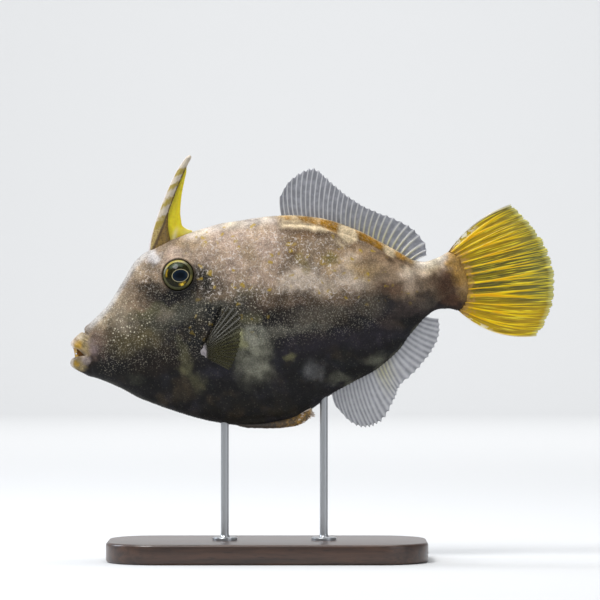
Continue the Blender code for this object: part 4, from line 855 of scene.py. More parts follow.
def spinePieces(names, settings, sampled):
    bm = bmesh.new()
    bmesh.ops.create_cone(bm, cap_ends=False, segments=3, radius1=1.0, radius2=0.0, depth=1.0)
    bmesh.ops.remove_doubles(bm, verts=bm.verts[:], dist=1e-4)
    shape = vertexPlaces(bm) + (0, 0, 0.5)
    faces = np.array([[v.index for v in f.verts] for f in bm.faces])
    bm.free()
    places, normals, colours, marks, unwrap = sampled
    dice = np.random.default_rng(settings["seed"] + 1)
    back = np.array(fishToWorld.to_3x3().col[0].normalized())
    along = back - normals * (normals @ back)[:, None]
    lean = settings["lean"] * dice.uniform(0.7, 1.2, len(places))
    side = np.cross(normals, along) * dice.normal(0, 0.3, len(places))[:, None]
    up = normals + along * lean[:, None] + side
    up /= np.linalg.norm(up, axis=1, keepdims=True)
    across = np.cross(up, back)
    across /= np.linalg.norm(across, axis=1, keepdims=True)
    other = np.cross(up, across)
    long = mix(*settings["length"], dice.uniform(0, 1, len(places)))[:, None, None] * 0.001
    wide = settings["radius"] * 0.001
    made = (
        (places - normals * settings.get("sunk", 0.1) * 0.001)[:, None]
        + shape[None, :, :1] * wide * across[:, None] + shape[None, :, 1:2] * wide * other[:, None]
        + shape[None, :, 2:] * long * up[:, None]
    )
    patch = shape[:, :2] * coat["patch"] / 2 * (1 - shape[:, 2:])
    for name, part in zip(names, np.array_split(np.arange(len(places)), len(names))):
        rows = made[part].reshape(-1, 3)
        links = (faces[None] + len(shape) * np.arange(len(part))[:, None, None]).reshape(-1, faces.shape[1])
        mesh = bpy.data.meshes.new(name)
        mesh.from_pydata(rows, [], links)
        mesh.shade_smooth()
        for key, given in (("markings", colours), ("skinMarks", marks)):
            layer = mesh.attributes.new(key, "FLOAT_VECTOR", "POINT")
            layer.data.foreach_set(
                "vector", np.repeat(given[part], len(shape), axis=0).astype(np.float32).ravel()
            )
        unwrapped = (unwrap[part][:, None] + patch[None]).reshape(-1, 2)
        uv = mesh.uv_layers.new(name="OFBake")
        uv.data.foreach_set("uv", unwrapped[links.ravel()].astype(np.float32).ravel())
        ridePiece(name, mesh, bpy.data.materials["velvetyScaleSkin"])


def coatDensity(places, marks):
    x, z = places[:, 0], places[:, 2]
    fromEye = np.hypot(x - eye["at"][0], z - eye["at"][1])
    clear = (fromEye > 7.3) & (marks[:, 2] < 0.01) & (awayFromLine(x, z, relief["creases"][0][0]) > 0.9)
    for px, pz, radius, _ in relief["pores"]:
        clear &= np.hypot(x - px, z - pz) > 2.6 * radius
    return clear * ease(coat["from"], coat["full"], x) * (x < 160)


def bristleDensity(places, _):
    (atX, atZ), (reachX, reachZ) = bristles["at"], bristles["reach"]
    away = np.hypot((places[:, 0] - atX) / reachX, (places[:, 2] - atZ) / reachZ)
    return (1 - ease(0.55, 1.0, away)) * (np.abs(places[:, 1]) > 1.5)


spinePieces(coat["pieces"], coat, skinSamples(skinPiece.data, coat["count"], coat["seed"], coatDensity))
spinePieces(
    ("tail_bristles",), bristles,
    skinSamples(skinPiece.data, bristles["count"], bristles["seed"], bristleDensity)
)
print("coat:", coat["count"], "spines")

# Fins: thin closed sheets whose rays are ridges on both faces
def sheetGrid(columns, rows):  # share across, share along and face, -1 or 1, of every vertex
    bm = bmesh.new()
    bmesh.ops.create_grid(bm, x_segments=columns, y_segments=rows, size=0.5)
    far = bmesh.ops.extrude_face_region(bm, geom=bm.faces[:])
    lifted = [g for g in far["geom"] if isinstance(g, bmesh.types.BMVert)]
    bmesh.ops.translate(bm, vec=(0, 0, 1), verts=lifted)
    flat = vertexPlaces(bm)
    return bm, flat[:, 0] + 0.5, flat[:, 1] + 0.5, 2 * flat[:, 2] - 1


def laySheet(bm, face, middle, normal, half, marks):
    moveVertices(bm, middle + normal * (half * face)[:, None])
    setLayer(bm, "finMarks", marks)
    bmesh.ops.recalc_face_normals(bm, faces=bm.faces[:])


def spread(values, seed, ray):  # a value a ray, the same each run, passing evenly from one ray to the next
    dice = np.random.default_rng(seed)
    given = dice.uniform(-1, 1, values)
    return np.interp(ray, np.arange(values), given)


dorsalFin = {
    "rays": (  # root x, tip x, tip z
        (92.9, 93.6, 47.8), (97.0, 98.8, 53.9), (103.2, 107.7, 57.1), (107.6, 112.4, 54.4),
        (111.0, 115.2, 50.0), (117.7, 121.2, 42.9), (124.0, 128.1, 36.9), (129.5, 135.4, 32.6),
        (133.7, 142.3, 27.8), (137.0, 146.1, 23.0), (139.4, 147.9, 17.9), (141.9, 147.4, 14.4),
    ),
    "count": 31, "seed": 3, "raggedAt": 8.6, "raggedBy": 0.075, "rayWidth": (0.27, 0.17),
    "rayShow": 0.75, "yellowFrom": (0.4, 0.72, 1.1, 1.2),
}
analFin = {
    "rays": (
        (100.4, 101.2, -39.0), (104.6, 106.2, -46.3), (108.6, 111.3, -49.2), (113.0, 116.2, -48.8),
        (119.6, 124.7, -40.4), (124.7, 128.0, -35.2), (128.6, 135.2, -30.4), (132.0, 140.4, -26.1),
        (135.4, 144.4, -22.0), (139.2, 147.4, -16.2), (142.2, 147.8, -11.3),
    ),
    "count": 31, "seed": 5, "raggedAt": 15.5, "raggedBy": 0.05, "rayWidth": (0.55, 0.42),
    "rayShow": 0.55, "yellowFrom": (0.4, 0.5, 0.52, 0.66),
}
longFins = {
    "columnsPerGap": 8, "rows": 26, "sunk": 1.1, "bow": 0.04, "wave": 1.2, "waves": 1.5,
    "notch": 0.05, "lengthSpread": 0.012, "membrane": 0.09, "ray": (0.5, 0.26),
}


def buildLongFin(name, fin, edgeLine, side):
    count = fin["count"]
    columns = longFins["columnsPerGap"] * (count - 1)
    bm, across, share, face = sheetGrid(columns, longFins["rows"])
    ray = across * (count - 1)
    off = np.abs(ray - np.round(ray))
    first, last = fin["rays"][0][0], fin["rays"][-1][0]
    rootX = mix(first, last, across)
    rootZ = edgeLine(rootX) - side * longFins["sunk"]
    tipX, tipZ = readCurve(fin["rays"], rootX), readCurve(fin["rays"], rootX, 2)
    short = longFins["notch"] * np.sin(math.pi * off) ** 1.3
    short += longFins["lengthSpread"] * spread(count, fin["seed"], ray)
    past = ray - fin["raggedAt"]
    short += fin["raggedBy"] * np.where(past > 0, np.exp(-past / 1.2), 0) * ease(0.0, 0.35, past)
    reachX, reachZ = (tipX - rootX) * (1 - short), (tipZ - rootZ) * (1 - short)
    bow = side * longFins["bow"] * 4 * share * (1 - share)
    x = rootX + reachX * share - reachZ * bow
    z = rootZ + reachZ * share + reachX * bow
    y = longFins["wave"] * np.sin(2 * math.pi * longFins["waves"] * across) * share
    y += 0.35 * spread(count, fin["seed"] + 1, ray) * share ** 3
    width = mix(*fin["rayWidth"], share) / ((last - first) / (count - 1))
    onRay = np.exp(-((off / width) ** 2))
    rise, full, fall, end = fin["yellowFrom"]
    yellow = ease(rise, full, across) * (1 - ease(fall, end, across))
    half = longFins["membrane"] * (1 - 0.4 * share) + mix(*longFins["ray"], share) * onRay
    laySheet(
        bm, face, np.stack((x, y, z), axis=-1), np.array((0, 1, 0)), half,
        np.stack((yellow, share, fin["rayShow"] * onRay), axis=-1)
    )
    return finishPiece(name + "_rayed", bm, rayedFinMaterial(), (name,))


def rayedFinMaterial():
    # Fin membrane: a thin wet film, grey-lilac and see-through, over whitish rays that turn pale yellow to
    # the rear
    if "clearRayedFin" in bpy.data.materials:
        return bpy.data.materials["clearRayedFin"]
    look = {
        "membrane": "#7C7D83", "veil": "#A0A1A7", "ray": "#D6D6D8", "rearRay": "#D2CB98",
        "alpha": (0.86, 0.98)
    }
    made, tree, shader = newMaterial("clearRayedFin", {
        "Roughness": 0.34, "IOR": 1.4, "Coat Weight": 0.35, "Coat Roughness": 0.18,
    })
    place = fishPlace(tree)
    marks = pieceMarks(tree, "finMarks")
    cloud = addNode(tree, "TexNoise", {"Scale": 0.45, "Detail": 3.0}, {"Vector": place})
    veil = addNode(tree, "MapRange", {1: 0.42, 2: 0.66, 4: 0.6}, {0: cloud})
    rootward = addNode(tree, "MapRange", {1: 0.95, 2: 0.25}, {0: (marks, 1)})
    yellowing = addNode(tree, "Math", {"operation": "MULTIPLY"}, {0: (marks, 0), 1: rootward})
    rayTint = addNode(
        tree, "Mix", {"data_type": "RGBA", 6: hexColour(look["ray"]), 7: hexColour(look["rearRay"])},
        {0: yellowing}
    )
    base = addNode(
        tree, "Mix", {"data_type": "RGBA", 6: hexColour(look["membrane"]), 7: hexColour(look["veil"])},
        {0: veil}
    )
    colour = layColours(tree, (base, 2), (((marks, 2), (rayTint, 2)),))
    tree.links.new(colour[0].outputs[colour[1]], shader.inputs["Base Color"])
    edge = addNode(tree, "MapRange", {1: 0.9, 2: 1.0, 4: 0.3}, {0: (marks, 1)})
    solid = addNode(tree, "Math", {"operation": "MAXIMUM"}, {0: (marks, 2), 1: edge})
    alpha = addNode(tree, "MapRange", {3: look["alpha"][0], 4: look["alpha"][1]}, {0: solid})
    tree.links.new(alpha.outputs[0], shader.inputs["Alpha"])
    fibre = addNode(tree, "TexNoise", {"Scale": 2.2, "Detail": 3.0}, {"Vector": place})
    bump = addNode(tree, "Bump", {"Strength": 0.25, "Distance": 0.0001}, {"Height": fibre})
    tree.links.new(bump.outputs[0], shader.inputs["Normal"])
    return made


tailFin = {
    "margin": (  # share from the upper corner to the lower one, x, z
        (0.0, 184.3, 28.9), (0.18, 190.6, 19.8), (0.36, 195.2, 9.6), (0.54, 196.5, -0.6),
        (0.72, 194.6, -10.6), (0.88, 190.2, -19.2), (1.0, 185.0, -25.0),
    ),
    "rays": 14, "columnsPerGap": 20, "rows": 56, "pairing": (0.1, 0.13), "sunk": 1.6, "forks": (0.3, 0.62),
    "seed": 17,
    "upperBow": 2.6, "lowerBow": 3.8, "wave": 1.5, "waveSpan": (0.3, 1.9), "notch": 0.012,
    "deepNotch": 0.024,
    "membrane": (0.34, 0.12), "ray": (0.6, 0.2), "rayWidth": (0.42, 0.24), "gapWidth": (2.4, 5.4),
}


def tailBranches(ray, share):  # how far the nearest branch is, in gaps between two main rays
    lower, upper = tailFin["forks"]
    lower = lower + 0.05 * spread(tailFin["rays"], tailFin["seed"], np.round(ray))
    first = 0.25 * np.clip((share - lower) / (1 - lower), 0, 1) ** 0.8
    second = 0.125 * np.clip((share - upper) / (1 - upper), 0, 1) ** 0.9
    off = np.abs(ray - np.round(ray))
    return np.abs(np.abs(off - first) - second)


def buildTailFin():
    gaps = tailFin["rays"] - 1
    bm, across, share, face = sheetGrid(tailFin["columnsPerGap"] * gaps, tailFin["rows"])
    even = across * gaps
    ray = even + tailFin["pairing"][0] * np.sin(
        math.pi * even
    ) + tailFin["pairing"][1] * np.sin(2.3 * even + 1)
    branch = tailBranches(ray, share)
    angle = math.pi * (0.5 - across)
    rootX = fish["rootX"] + (fish["rootReach"] - tailFin["sunk"]) * np.cos(angle)
    rootZ = rootMiddle + (rootHalf - 0.3) * np.sin(angle)
    tipX, tipZ = readCurve(tailFin["margin"], across), readCurve(tailFin["margin"], across, 2)
    atTip = tailBranches(ray, np.ones(len(ray))) / 0.125
    between = np.abs(ray - np.round(ray)) * 2
    short = tailFin["notch"] * atTip ** 1.5 + tailFin["deepNotch"] * between ** 2.5
    short += 0.008 * spread(gaps * 4 + 1, tailFin["seed"] + 1, ray * 4)
    reachX, reachZ = (tipX - rootX) * (1 - short), (tipZ - rootZ) * (1 - short)
    bow = tailFin["upperBow"] * np.clip(1 - 3 * across, 0, 1) ** 1.5
    bow = (bow - tailFin["lowerBow"] * np.clip(3 * across - 2, 0, 1) ** 1.5) * 4 * share * (1 - share)
    length = np.hypot(reachX, reachZ)
    x = rootX + reachX * share - reachZ / length * bow
    z = rootZ + reachZ * share + reachX / length * bow
    y = tailFin["wave"] * np.sin(math.pi * mix(*tailFin["waveSpan"], across)) * share ** 1.5
    y += 0.5 * spread(tailFin["rays"], tailFin["seed"] + 2, ray) * share ** 2
    width = mix(*tailFin["rayWidth"], share) / mix(*tailFin["gapWidth"], share)
    onRay = np.exp(-((branch / width) ** 2))
    half = mix(*tailFin["membrane"], share) * np.clip(6 * across * (1 - across) + 0.4, 0, 1)
    half += mix(*tailFin["ray"], share ** 0.7) * onRay
    half += 0.25 * np.sin(math.pi * across) * (1 - ease(0.0, 0.2, share))
    laySheet(
        bm, face, np.stack((x, y, z), axis=-1), np.array((0, 1, 0)), half,
        np.stack((across, share, onRay), axis=-1)
    )
    return finishPiece("tail_fan", bm, tailMaterial(), ("tail_fin",))


def tailMaterial():
    # Tail membrane: lemon film over golden rays, with grey-olive windows where it is thin
    look = {
        "film": "#84720F", "outerFilm": "#6C6C3A", "window": "#464B2C", "ray": "#EECE0E", "core": "#DC980A",
        "thread": "#F0DC34", "margin": "#D4D28A", "edge": "#F4F0DC", "rust": "#B47A0C", "gap": "#5E520E",
        "lobe": "#BC980C",
        "root": "#AC8648", "alpha": (0.93, 1.0),
    }
    made, tree, shader = newMaterial("goldenTailFin", {
        "Roughness": 0.36, "IOR": 1.36, "Specular IOR Level": 0.35, "Coat Weight": 0.08,
        "Coat Roughness": 0.15,
    })
    marks = pieceMarks(tree, "finMarks")
    across, share, onRay = (marks, 0), (marks, 1), (marks, 2)
    # streaks that run out with the rays: fine across the fan, slow along it
    spanned = addNode(tree, "CombineXYZ", None, {0: across, 1: share})
    noises = []
    for scale, shift, detail in (
        ((40.0, 2.0, 1.0), 0.0, 3.0), ((110.0, 2.4, 1.0), 5.0, 2.0), ((9.0, 3.0, 1.0), 9.0, 2.0),
        ((30.0, 16.0, 1.0), 3.0, 1.0),
    ):
        stretched = addNode(
            tree, "Mapping", {"Scale": scale, "Location": (shift, shift, 0.0)}, {0: spanned}
        )
        noises.append(
            addNode(
                tree, "TexNoise", {"Scale": 1.0, "Detail": detail, "Roughness": 0.6}, {"Vector": stretched}
            )
        )
    streaks, threads, patch, flecks = noises
    inner = addNode(tree, "MapRange", {"interpolation_type": "SMOOTHSTEP", 1: 0.85, 2: 0.4}, {0: share})
    shares = {}
    for name, giver, low, high, strength, gates in (
        (
            "window", streaks, 0.4, 0.56, 0.9,
            (inner, (across, 0.24, 0.36), (across, 0.74, 0.62), (share, 0.04, 0.14))
        ),
        ("gap", threads, 0.46, 0.36, 0.6, ((share, 0.05, 0.3),)),
        ("thread", threads, 0.54, 0.64, 0.9, ((share, 0.1, 0.35),)),
        ("rust", streaks, 0.56, 0.68, 0.6, ((share, 0.8, 0.5), (patch, 0.42, 0.56))),
        ("ray", onRay, 0.28, 0.8, 1.0, ((share, 1.05, 0.5),)),
        ("core", onRay, 0.5, 0.95, 0.85, ((share, 0.85, 0.4), (patch, 0.38, 0.54))),
    ):
        kept = addNode(tree, "MapRange", {1: low, 2: high, 4: strength}, {0: giver})
        for gate in gates:
            if isinstance(gate, tuple):
                gate = addNode(tree, "MapRange", {1: gate[1], 2: gate[2]}, {0: gate[0]})
            kept = addNode(tree, "Math", {"operation": "MULTIPLY"}, {0: kept, 1: gate})
        shares[name] = kept
    margin = addNode(tree, "MapRange", {1: 0.93, 2: 1.0, 4: 0.75}, {0: share})
    edgeTop = addNode(tree, "MapRange", {1: 0.014, 2: 0.003, 4: 0.8}, {0: across})
    edgeLow = addNode(tree, "MapRange", {1: 0.99, 2: 0.998, 4: 0.5}, {0: across})
    # deep yellow lobes above and below, and whitish flecks by the root of both edges
    top = addNode(
        tree, "MapRange", {"interpolation_type": "SMOOTHSTEP", 1: 0.4, 2: 0.2, 4: 0.75}, {0: across}
    )
    low = addNode(
        tree, "MapRange", {"interpolation_type": "SMOOTHSTEP", 1: 0.7, 2: 0.84, 4: 0.8}, {0: across}
    )
    topTo = addNode(tree, "MapRange", {1: 1.05, 2: 0.6}, {0: share})
    top = addNode(tree, "Math", {"operation": "MULTIPLY"}, {0: top, 1: topTo})
    lobes = addNode(tree, "Math", {"operation": "MAXIMUM"}, {0: top, 1: low})
    fleckOn = addNode(tree, "MapRange", {1: 0.46, 2: 0.52, 4: 0.9}, {0: flecks})
    fleckIn = addNode(tree, "MapRange", {1: 0.5, 2: 0.35}, {0: share})
    fleckTop = addNode(tree, "MapRange", {1: 0.06, 2: 0.03}, {0: across})
    fleckLow = addNode(tree, "MapRange", {1: 0.965, 2: 0.98, 4: 0.6}, {0: across})
    fleck = addNode(tree, "Math", {"operation": "MAXIMUM"}, {0: fleckTop, 1: fleckLow})
    for gate in (fleckOn, fleckIn):
        fleck = addNode(tree, "Math", {"operation": "MULTIPLY"}, {0: fleck, 1: gate})
    rooted = addNode(tree, "Math", {"operation": "MULTIPLY_ADD", 1: -0.4}, {0: flecks, 2: share})
    rooted = addNode(tree, "MapRange", {1: -0.07, 2: -0.17, 4: 0.85}, {0: rooted})
    film = addNode(tree, "Mix", {
        "data_type": "RGBA", 6: hexColour(look["outerFilm"]), 7: hexColour(look["film"])}, {0: inner})
    colour = layColours(tree, (film, 2), (
        (shares["window"], look["window"]), (lobes, look["lobe"]), (shares["gap"], look["gap"]),
        (shares["thread"], look["thread"]),
        (shares["rust"], look["rust"]), (margin, look["margin"]), (shares["ray"], look["ray"]),
        (shares["core"], look["core"]), (edgeTop, look["edge"]), (edgeLow, look["edge"]),
        (fleck, look["edge"]),
        (rooted, look["root"]),
    ))
    tree.links.new(colour[0].outputs[colour[1]], shader.inputs["Base Color"])
    alpha = addNode(tree, "MapRange", {3: look["alpha"][0], 4: look["alpha"][1]}, {0: onRay})
    tree.links.new(alpha.outputs[0], shader.inputs["Alpha"])
    bump = addNode(tree, "Bump", {"Strength": 0.2, "Distance": 0.0001}, {"Height": threads})
    tree.links.new(bump.outputs[0], shader.inputs["Normal"])
    return made


pectoralFin = {
    # degrees down, length
    "at": (53.4, -7.9), "fan": ((-47.0, 19.0), (-36.0, 20.5), (-12.0, 16.6), (12.0, 13.4), (36.0, 11.4)),
    "rays": 15, "columnsPerGap": 10, "rows": 40, "spread": 14.0, "cup": 0.6, "root": 2.2,
    "offFlank": (0.8, 1.6),
    "notch": 0.04, "membrane": 0.06, "ray": (0.1, 0.08), "rayWidth": (0.24, 0.17), "seed": 23,
    "lobe": (1.3, 0.9, 1.35), "lobeRough": 0.5,
}


def buildPectoral(name, side):
    gaps = pectoralFin["rays"] - 1
    x, z = pectoralFin["at"]
    turn = math.radians(pectoralFin["spread"])
    back = np.array((math.cos(turn), side * math.sin(turn), 0))
    out = np.array((-math.sin(turn), side * math.cos(turn), 0))
    y = side * (float(flankY(np.array([x]), np.array([z]))[0]) + pectoralFin["offFlank"][0])
    bm, across, share, face = sheetGrid(pectoralFin["columnsPerGap"] * gaps, pectoralFin["rows"])
    ray = across * gaps
    off = np.abs(ray - np.round(ray))
    down = mix(pectoralFin["fan"][0][0], pectoralFin["fan"][-1][0], across)
    reach = readCurve(pectoralFin["fan"], down) * (1 - pectoralFin["notch"] * np.sin(math.pi * off) ** 1.4)
    reach = reach * (1 + 0.01 * spread(gaps + 1, pectoralFin["seed"], ray))
    angle = -np.radians(down)
    lift = pectoralFin["root"] * (1 - 2 * across)
    root = np.array((x, y, z)) + lift[:, None] * np.array((0, 0, 1))
    direction = np.cos(angle)[:, None] * back + np.sin(angle)[:, None] * np.array((0, 0, 1))
    cup = pectoralFin["cup"] * share ** 2 + 0.25 * spread(gaps + 1, pectoralFin["seed"] + 1, ray) * share
    middle = root + direction * (reach * share)[:, None] + out * cup[:, None]
    bare = flankY(middle[:, 0], middle[:, 2]) + mix(*pectoralFin["offFlank"], share)
    middle[:, 1] = side * np.maximum(side * middle[:, 1], bare)
    width = mix(*pectoralFin["rayWidth"], share)
    onRay = np.exp(-((off / width) ** 2)) * ease(0.05, 0.4, share) * (1 - 0.35 * ease(0.3, 0.55, across))
    half = pectoralFin["membrane"] + mix(*pectoralFin["ray"], share) * onRay
    laySheet(bm, face, middle, out, half, np.stack((across, share, onRay), axis=-1))
    lobe = bmesh.ops.create_uvsphere(bm, u_segments=32, v_segments=20, radius=1.0)["verts"]
    for vert in lobe:
        vert.co *= 1 + pectoralFin["lobeRough"] * noise.noise(vert.co * 1.7)
    bmesh.ops.scale(bm, vec=pectoralFin["lobe"], verts=lobe)
    bmesh.ops.translate(bm, vec=(x, y - side * 0.4, z), verts=lobe)
    layer = bm.verts.layers.float_vector["finMarks"]
    for vert in lobe:
        vert[layer] = (0.5, 0.0, 1.0)
    return finishPiece(
        name, bm, pectoralMaterial(),
        ("pectoral_fin_left" if side < 0 else "pectoral_fin_right",)
    )


def pectoralMaterial():
    # Pectoral membrane: the clearest of the fins, tinted olive, so that the flank shows through
    if "clearOliveFin" in bpy.data.materials:
        return bpy.data.materials["clearOliveFin"]
    look = {
        "film": "#2C2A1E", "ray": "#76746E", "lowRay": "#454320", "base": "#A39C9E", "alpha": (0.46, 0.7),
        "rays": 0.72
    }
    made, tree, shader = newMaterial("clearOliveFin", {
        "Roughness": 0.36, "IOR": 1.36, "Specular IOR Level": 0.3,
    })
    marks = pieceMarks(tree, "finMarks")
    rooted = addNode(tree, "MapRange", {1: 0.1, 2: 0.01}, {0: (marks, 1)})
    low = addNode(tree, "MapRange", {1: 0.2, 2: 0.45}, {0: (marks, 0)})
    rayTint = addNode(
        tree, "Mix", {"data_type": "RGBA", 6: hexColour(look["ray"]), 7: hexColour(look["lowRay"])},
        {0: low}
    )
    film = addNode(
        tree, "Mix", {"data_type": "RGBA", 6: hexColour(look["film"])}, {0: (marks, 2), 7: (rayTint, 2)}
    )
    colour = layColours(tree, (film, 2), ((rooted, look["base"]),))
    tree.links.new(colour[0].outputs[colour[1]], shader.inputs["Base Color"])
    filmed = addNode(tree, "MapRange", {3: look["alpha"][0], 4: look["alpha"][1]}, {0: low})
    solid = addNode(tree, "Math", {"operation": "MAXIMUM"}, {0: (marks, 2), 1: rooted})
    solid = addNode(tree, "Math", {"operation": "MULTIPLY", 1: look["rays"]}, {0: solid})
    alpha = addNode(tree, "Math", {"operation": "MAXIMUM"}, {0: filmed, 1: solid})
    tree.links.new(alpha.outputs[0], shader.inputs["Alpha"])
    return made


buildLongFin("dorsal_fin", dorsalFin, backLine, 1)
buildLongFin("anal_fin", analFin, bellyLine, -1)
buildTailFin()
buildPectoral("pectoral_left", -1)
buildPectoral("pectoral_right", 1)
print("fins ready")

# First dorsal spine: a stout barbed lance, with a bright web behind it
spine = {
    "front": (
        (37.6, 34.2), (39.5, 39.7), (42.2, 45.4), (46.8, 53.5), (51.3, 60.4), (55.5, 66.0), (59.6, 69.9),
        (61.0, 70.5),
    ),
    "rear": (
        (47.6, 35.4), (47.5, 41.6), (48.3, 47.7), (52.4, 55.6), (55.9, 61.4), (59.0, 66.0), (61.4, 69.2),
        (61.6, 69.9),
    ),
    "halfThick": (2.9, 2.5, 2.1, 1.8, 1.5, 1.2, 0.8, 0.4),
    "rings": 90, "around": 40, "barbs": 13, "barbSpan": (0.28, 0.9), "barbLength": 1.15, "barbRadius": 0.34,
    "webEdge": (
        (58.6, 64.0), (57.0, 60.2), (54.9, 54.6), (53.2, 47.3), (53.1, 43.7), (55.0, 41.4), (57.6, 40.4)
    ),
    "webTop": 0.77, "webSunk": 2.6, "webHalf": 0.22,
}


def readPath(rows, share):  # smooth through even steps of a table
    rows = np.array(rows, float).reshape(len(rows), -1)
    steps = np.linspace(0, 1, len(rows))
    columns = [readCurve(np.column_stack((steps, rows[:, k])), share) for k in range(rows.shape[1])]
    return np.stack(columns, axis=-1)


def tubeGrid(rings, around):
    bm = bmesh.new()
    bmesh.ops.create_grid(bm, x_segments=rings, y_segments=around, size=0.5)
    flat = vertexPlaces(bm) + 0.5
    return bm, flat[:, 0], flat[:, 1] * 2 * math.pi


def buildSpine():
    bm, share, turn = tubeGrid(spine["rings"], spine["around"])
    share = 1 - (1 - share) ** 1.25
    front, rear = readPath(spine["front"], share), readPath(spine["rear"], share)
    thick = readPath(spine["halfThick"], share)[:, 0]
    middle, reach = (front + rear) / 2, (rear - front) / 2
    rise, out = np.cos(turn), np.sin(turn)
    at = middle + reach * rise[:, None]
    grooves = 1 - 0.07 * (
        0.5 + 0.5 * np.cos(6 * turn)
    ) * ease(0.05, 0.3, share) * (1 - ease(0.8, 1.0, share))
    y = thick * np.sign(out) * np.abs(out) ** 0.85 * grooves
    rough = 0.07 * noiseAt(np.stack((at[:, 0], y, at[:, 1]), axis=-1), 1.1, 14.0)
    moveVertices(bm, np.stack((at[:, 0], y * (1 + rough), at[:, 1]), axis=-1))
    setLayer(bm, "spineMarks", np.stack((share, 0.5 + 0.5 * rise, 0 * share), axis=-1))
    closeUp(bm)
    layer = bm.verts.layers.float_vector["spineMarks"]
    for side in (-1, 1):
        for i in range(spine["barbs"]):
            along = mix(*spine["barbSpan"], i / (spine["barbs"] - 1))
            size = mix(1.15, 0.6, along)
            near, far = readPath(
                spine["front"], np.array([along])
            )[0], readPath(spine["rear"], np.array([along]))[0]
            wide = readPath(spine["halfThick"], np.array([along]))[0, 0]
            root = Vector((mix(near[0], far[0], 0.8), side * wide * 0.52, mix(near[1], far[1], 0.8)))
            lean = Vector((0.75, side * 0.8, -0.5)).normalized()
            made = bmesh.ops.create_cone(
                bm, cap_ends=True, segments=8, radius1=spine["barbRadius"] * size, radius2=0.03,
                depth=spine["barbLength"] * size,
            )["verts"]
            bmesh.ops.translate(bm, vec=(0, 0, spine["barbLength"] * size * 0.35), verts=made)
            turned = Vector((0, 0, 1)).rotation_difference(lean).to_matrix()
            bmesh.ops.rotate(bm, cent=(0, 0, 0), matrix=turned, verts=made)
            bmesh.ops.translate(bm, vec=root, verts=made)
            for vert in made:
                vert[layer] = (along, 0.74, 1.0)
    return finishPiece("barbed_spine", bm, spineMaterial(), ("dorsal_spine",))


def spineMaterial():
    # Spine: dermal bone under thin skin, cream with ochre bands and a dark seam, matt, with a painted
    # sheen of pale grey-white along its front edge
    look = {
        "cream": "#D2C6B0", "greyCream": "#9A8F80", "front": "#C9C2C2", "band": "#94801A",
        "gold": "#9C8430",
        "mottle": "#6B4E22", "seam": "#40290E", "root": "#7C6228", "rootDark": "#3E2C12",
    }
    made, tree, shader = newMaterial(
        "bandedSpine", {"Roughness": 0.5, "Coat Weight": 0.15, "Coat Roughness": 0.3}
    )
    place = fishPlace(tree)
    marks = pieceMarks(tree, "spineMarks")
    cloud = addNode(tree, "TexNoise", {"Scale": 0.7, "Detail": 4.0}, {"Vector": place})
    wander = addNode(tree, "MapRange", {1: 0.3, 2: 0.7, 3: -0.018, 4: 0.018}, {0: cloud})
    along = addNode(tree, "Math", {"operation": "ADD"}, {0: (marks, 0), 1: wander})
    bands = None
    for at, wide in ((0.27, 0.055), (0.405, 0.045), (0.535, 0.045), (0.665, 0.05)):
        away = addNode(tree, "Math", {"operation": "SUBTRACT", 1: at}, {0: along})
        away = addNode(tree, "Math", {"operation": "ABSOLUTE"}, {0: away})
        band = addNode(
            tree, "MapRange", {"interpolation_type": "SMOOTHSTEP", 1: wide, 2: wide - 0.035, 4: 0.9},
            {0: away}
        )
        bands = band if bands is None else addNode(
            tree, "Math", {"operation": "MAXIMUM"}, {0: bands, 1: band}
        )
    lower = addNode(
        tree, "MapRange", {"interpolation_type": "SMOOTHSTEP", 1: 0.3, 2: 0.2, 4: 0.8}, {0: along}
    )
    spots = addNode(tree, "TexNoise", {"Scale": 1.5, "Detail": 3.0}, {"Vector": place})
    mottle = addNode(tree, "MapRange", {1: 0.46, 2: 0.6, 4: 0.8}, {0: spots})
    mottle = addNode(tree, "Math", {"operation": "MULTIPLY"}, {0: mottle, 1: lower})
    # painted sheen: the front edge made pale grey-white
    front = addNode(
        tree, "MapRange", {"interpolation_type": "SMOOTHSTEP", 1: 0.13, 2: 0.03, 4: 0.9}, {0: (marks, 1)}
    )
    # the seam runs from the foot of the front edge up to the rear edge, with brown-gold flesh behind it
    seamAt = addNode(tree, "MapRange", {1: 0.0, 2: 0.33, 3: 0.12, 4: 0.97}, {0: (marks, 0)})
    behind = addNode(tree, "Math", {"operation": "SUBTRACT"}, {0: (marks, 1), 1: seamAt})
    offSeam = addNode(tree, "Math", {"operation": "ABSOLUTE"}, {0: behind})
    seamIn = addNode(
        tree, "MapRange", {"interpolation_type": "SMOOTHSTEP", 1: 0.15, 2: 0.02, 4: 0.85}, {0: offSeam}
    )
    seamUp = addNode(tree, "MapRange", {1: 0.74, 2: 0.66}, {0: (marks, 0)})
    seam = addNode(tree, "Math", {"operation": "MULTIPLY"}, {0: seamIn, 1: seamUp})
    root = addNode(tree, "MapRange", {"interpolation_type": "SMOOTHSTEP", 1: 0.0, 2: 0.05}, {0: behind})
    rootTint = addNode(tree, "Mix", {
        "data_type": "RGBA", 6: hexColour(look["root"]), 7: hexColour(look["rootDark"])}, {0: mottle})
    colour = layColours(tree, (addNode(tree, "Mix", {
        "data_type": "RGBA", 6: hexColour(look["greyCream"]),
        7: hexColour(look["cream"])}, {0: cloud}), 2), (
        (lower, look["gold"]), (bands, look["band"]), (mottle, look["mottle"]), (root, (rootTint, 2)),
        (seam, look["seam"]), (front, look["front"]),
    ))
    tree.links.new(colour[0].outputs[colour[1]], shader.inputs["Base Color"])
    grain = addNode(tree, "TexNoise", {"Scale": 3.0, "Detail": 3.0}, {"Vector": place})
    bump = addNode(tree, "Bump", {"Strength": 0.4, "Distance": 0.0002}, {"Height": grain})
    tree.links.new(bump.outputs[0], shader.inputs["Normal"])
    return made


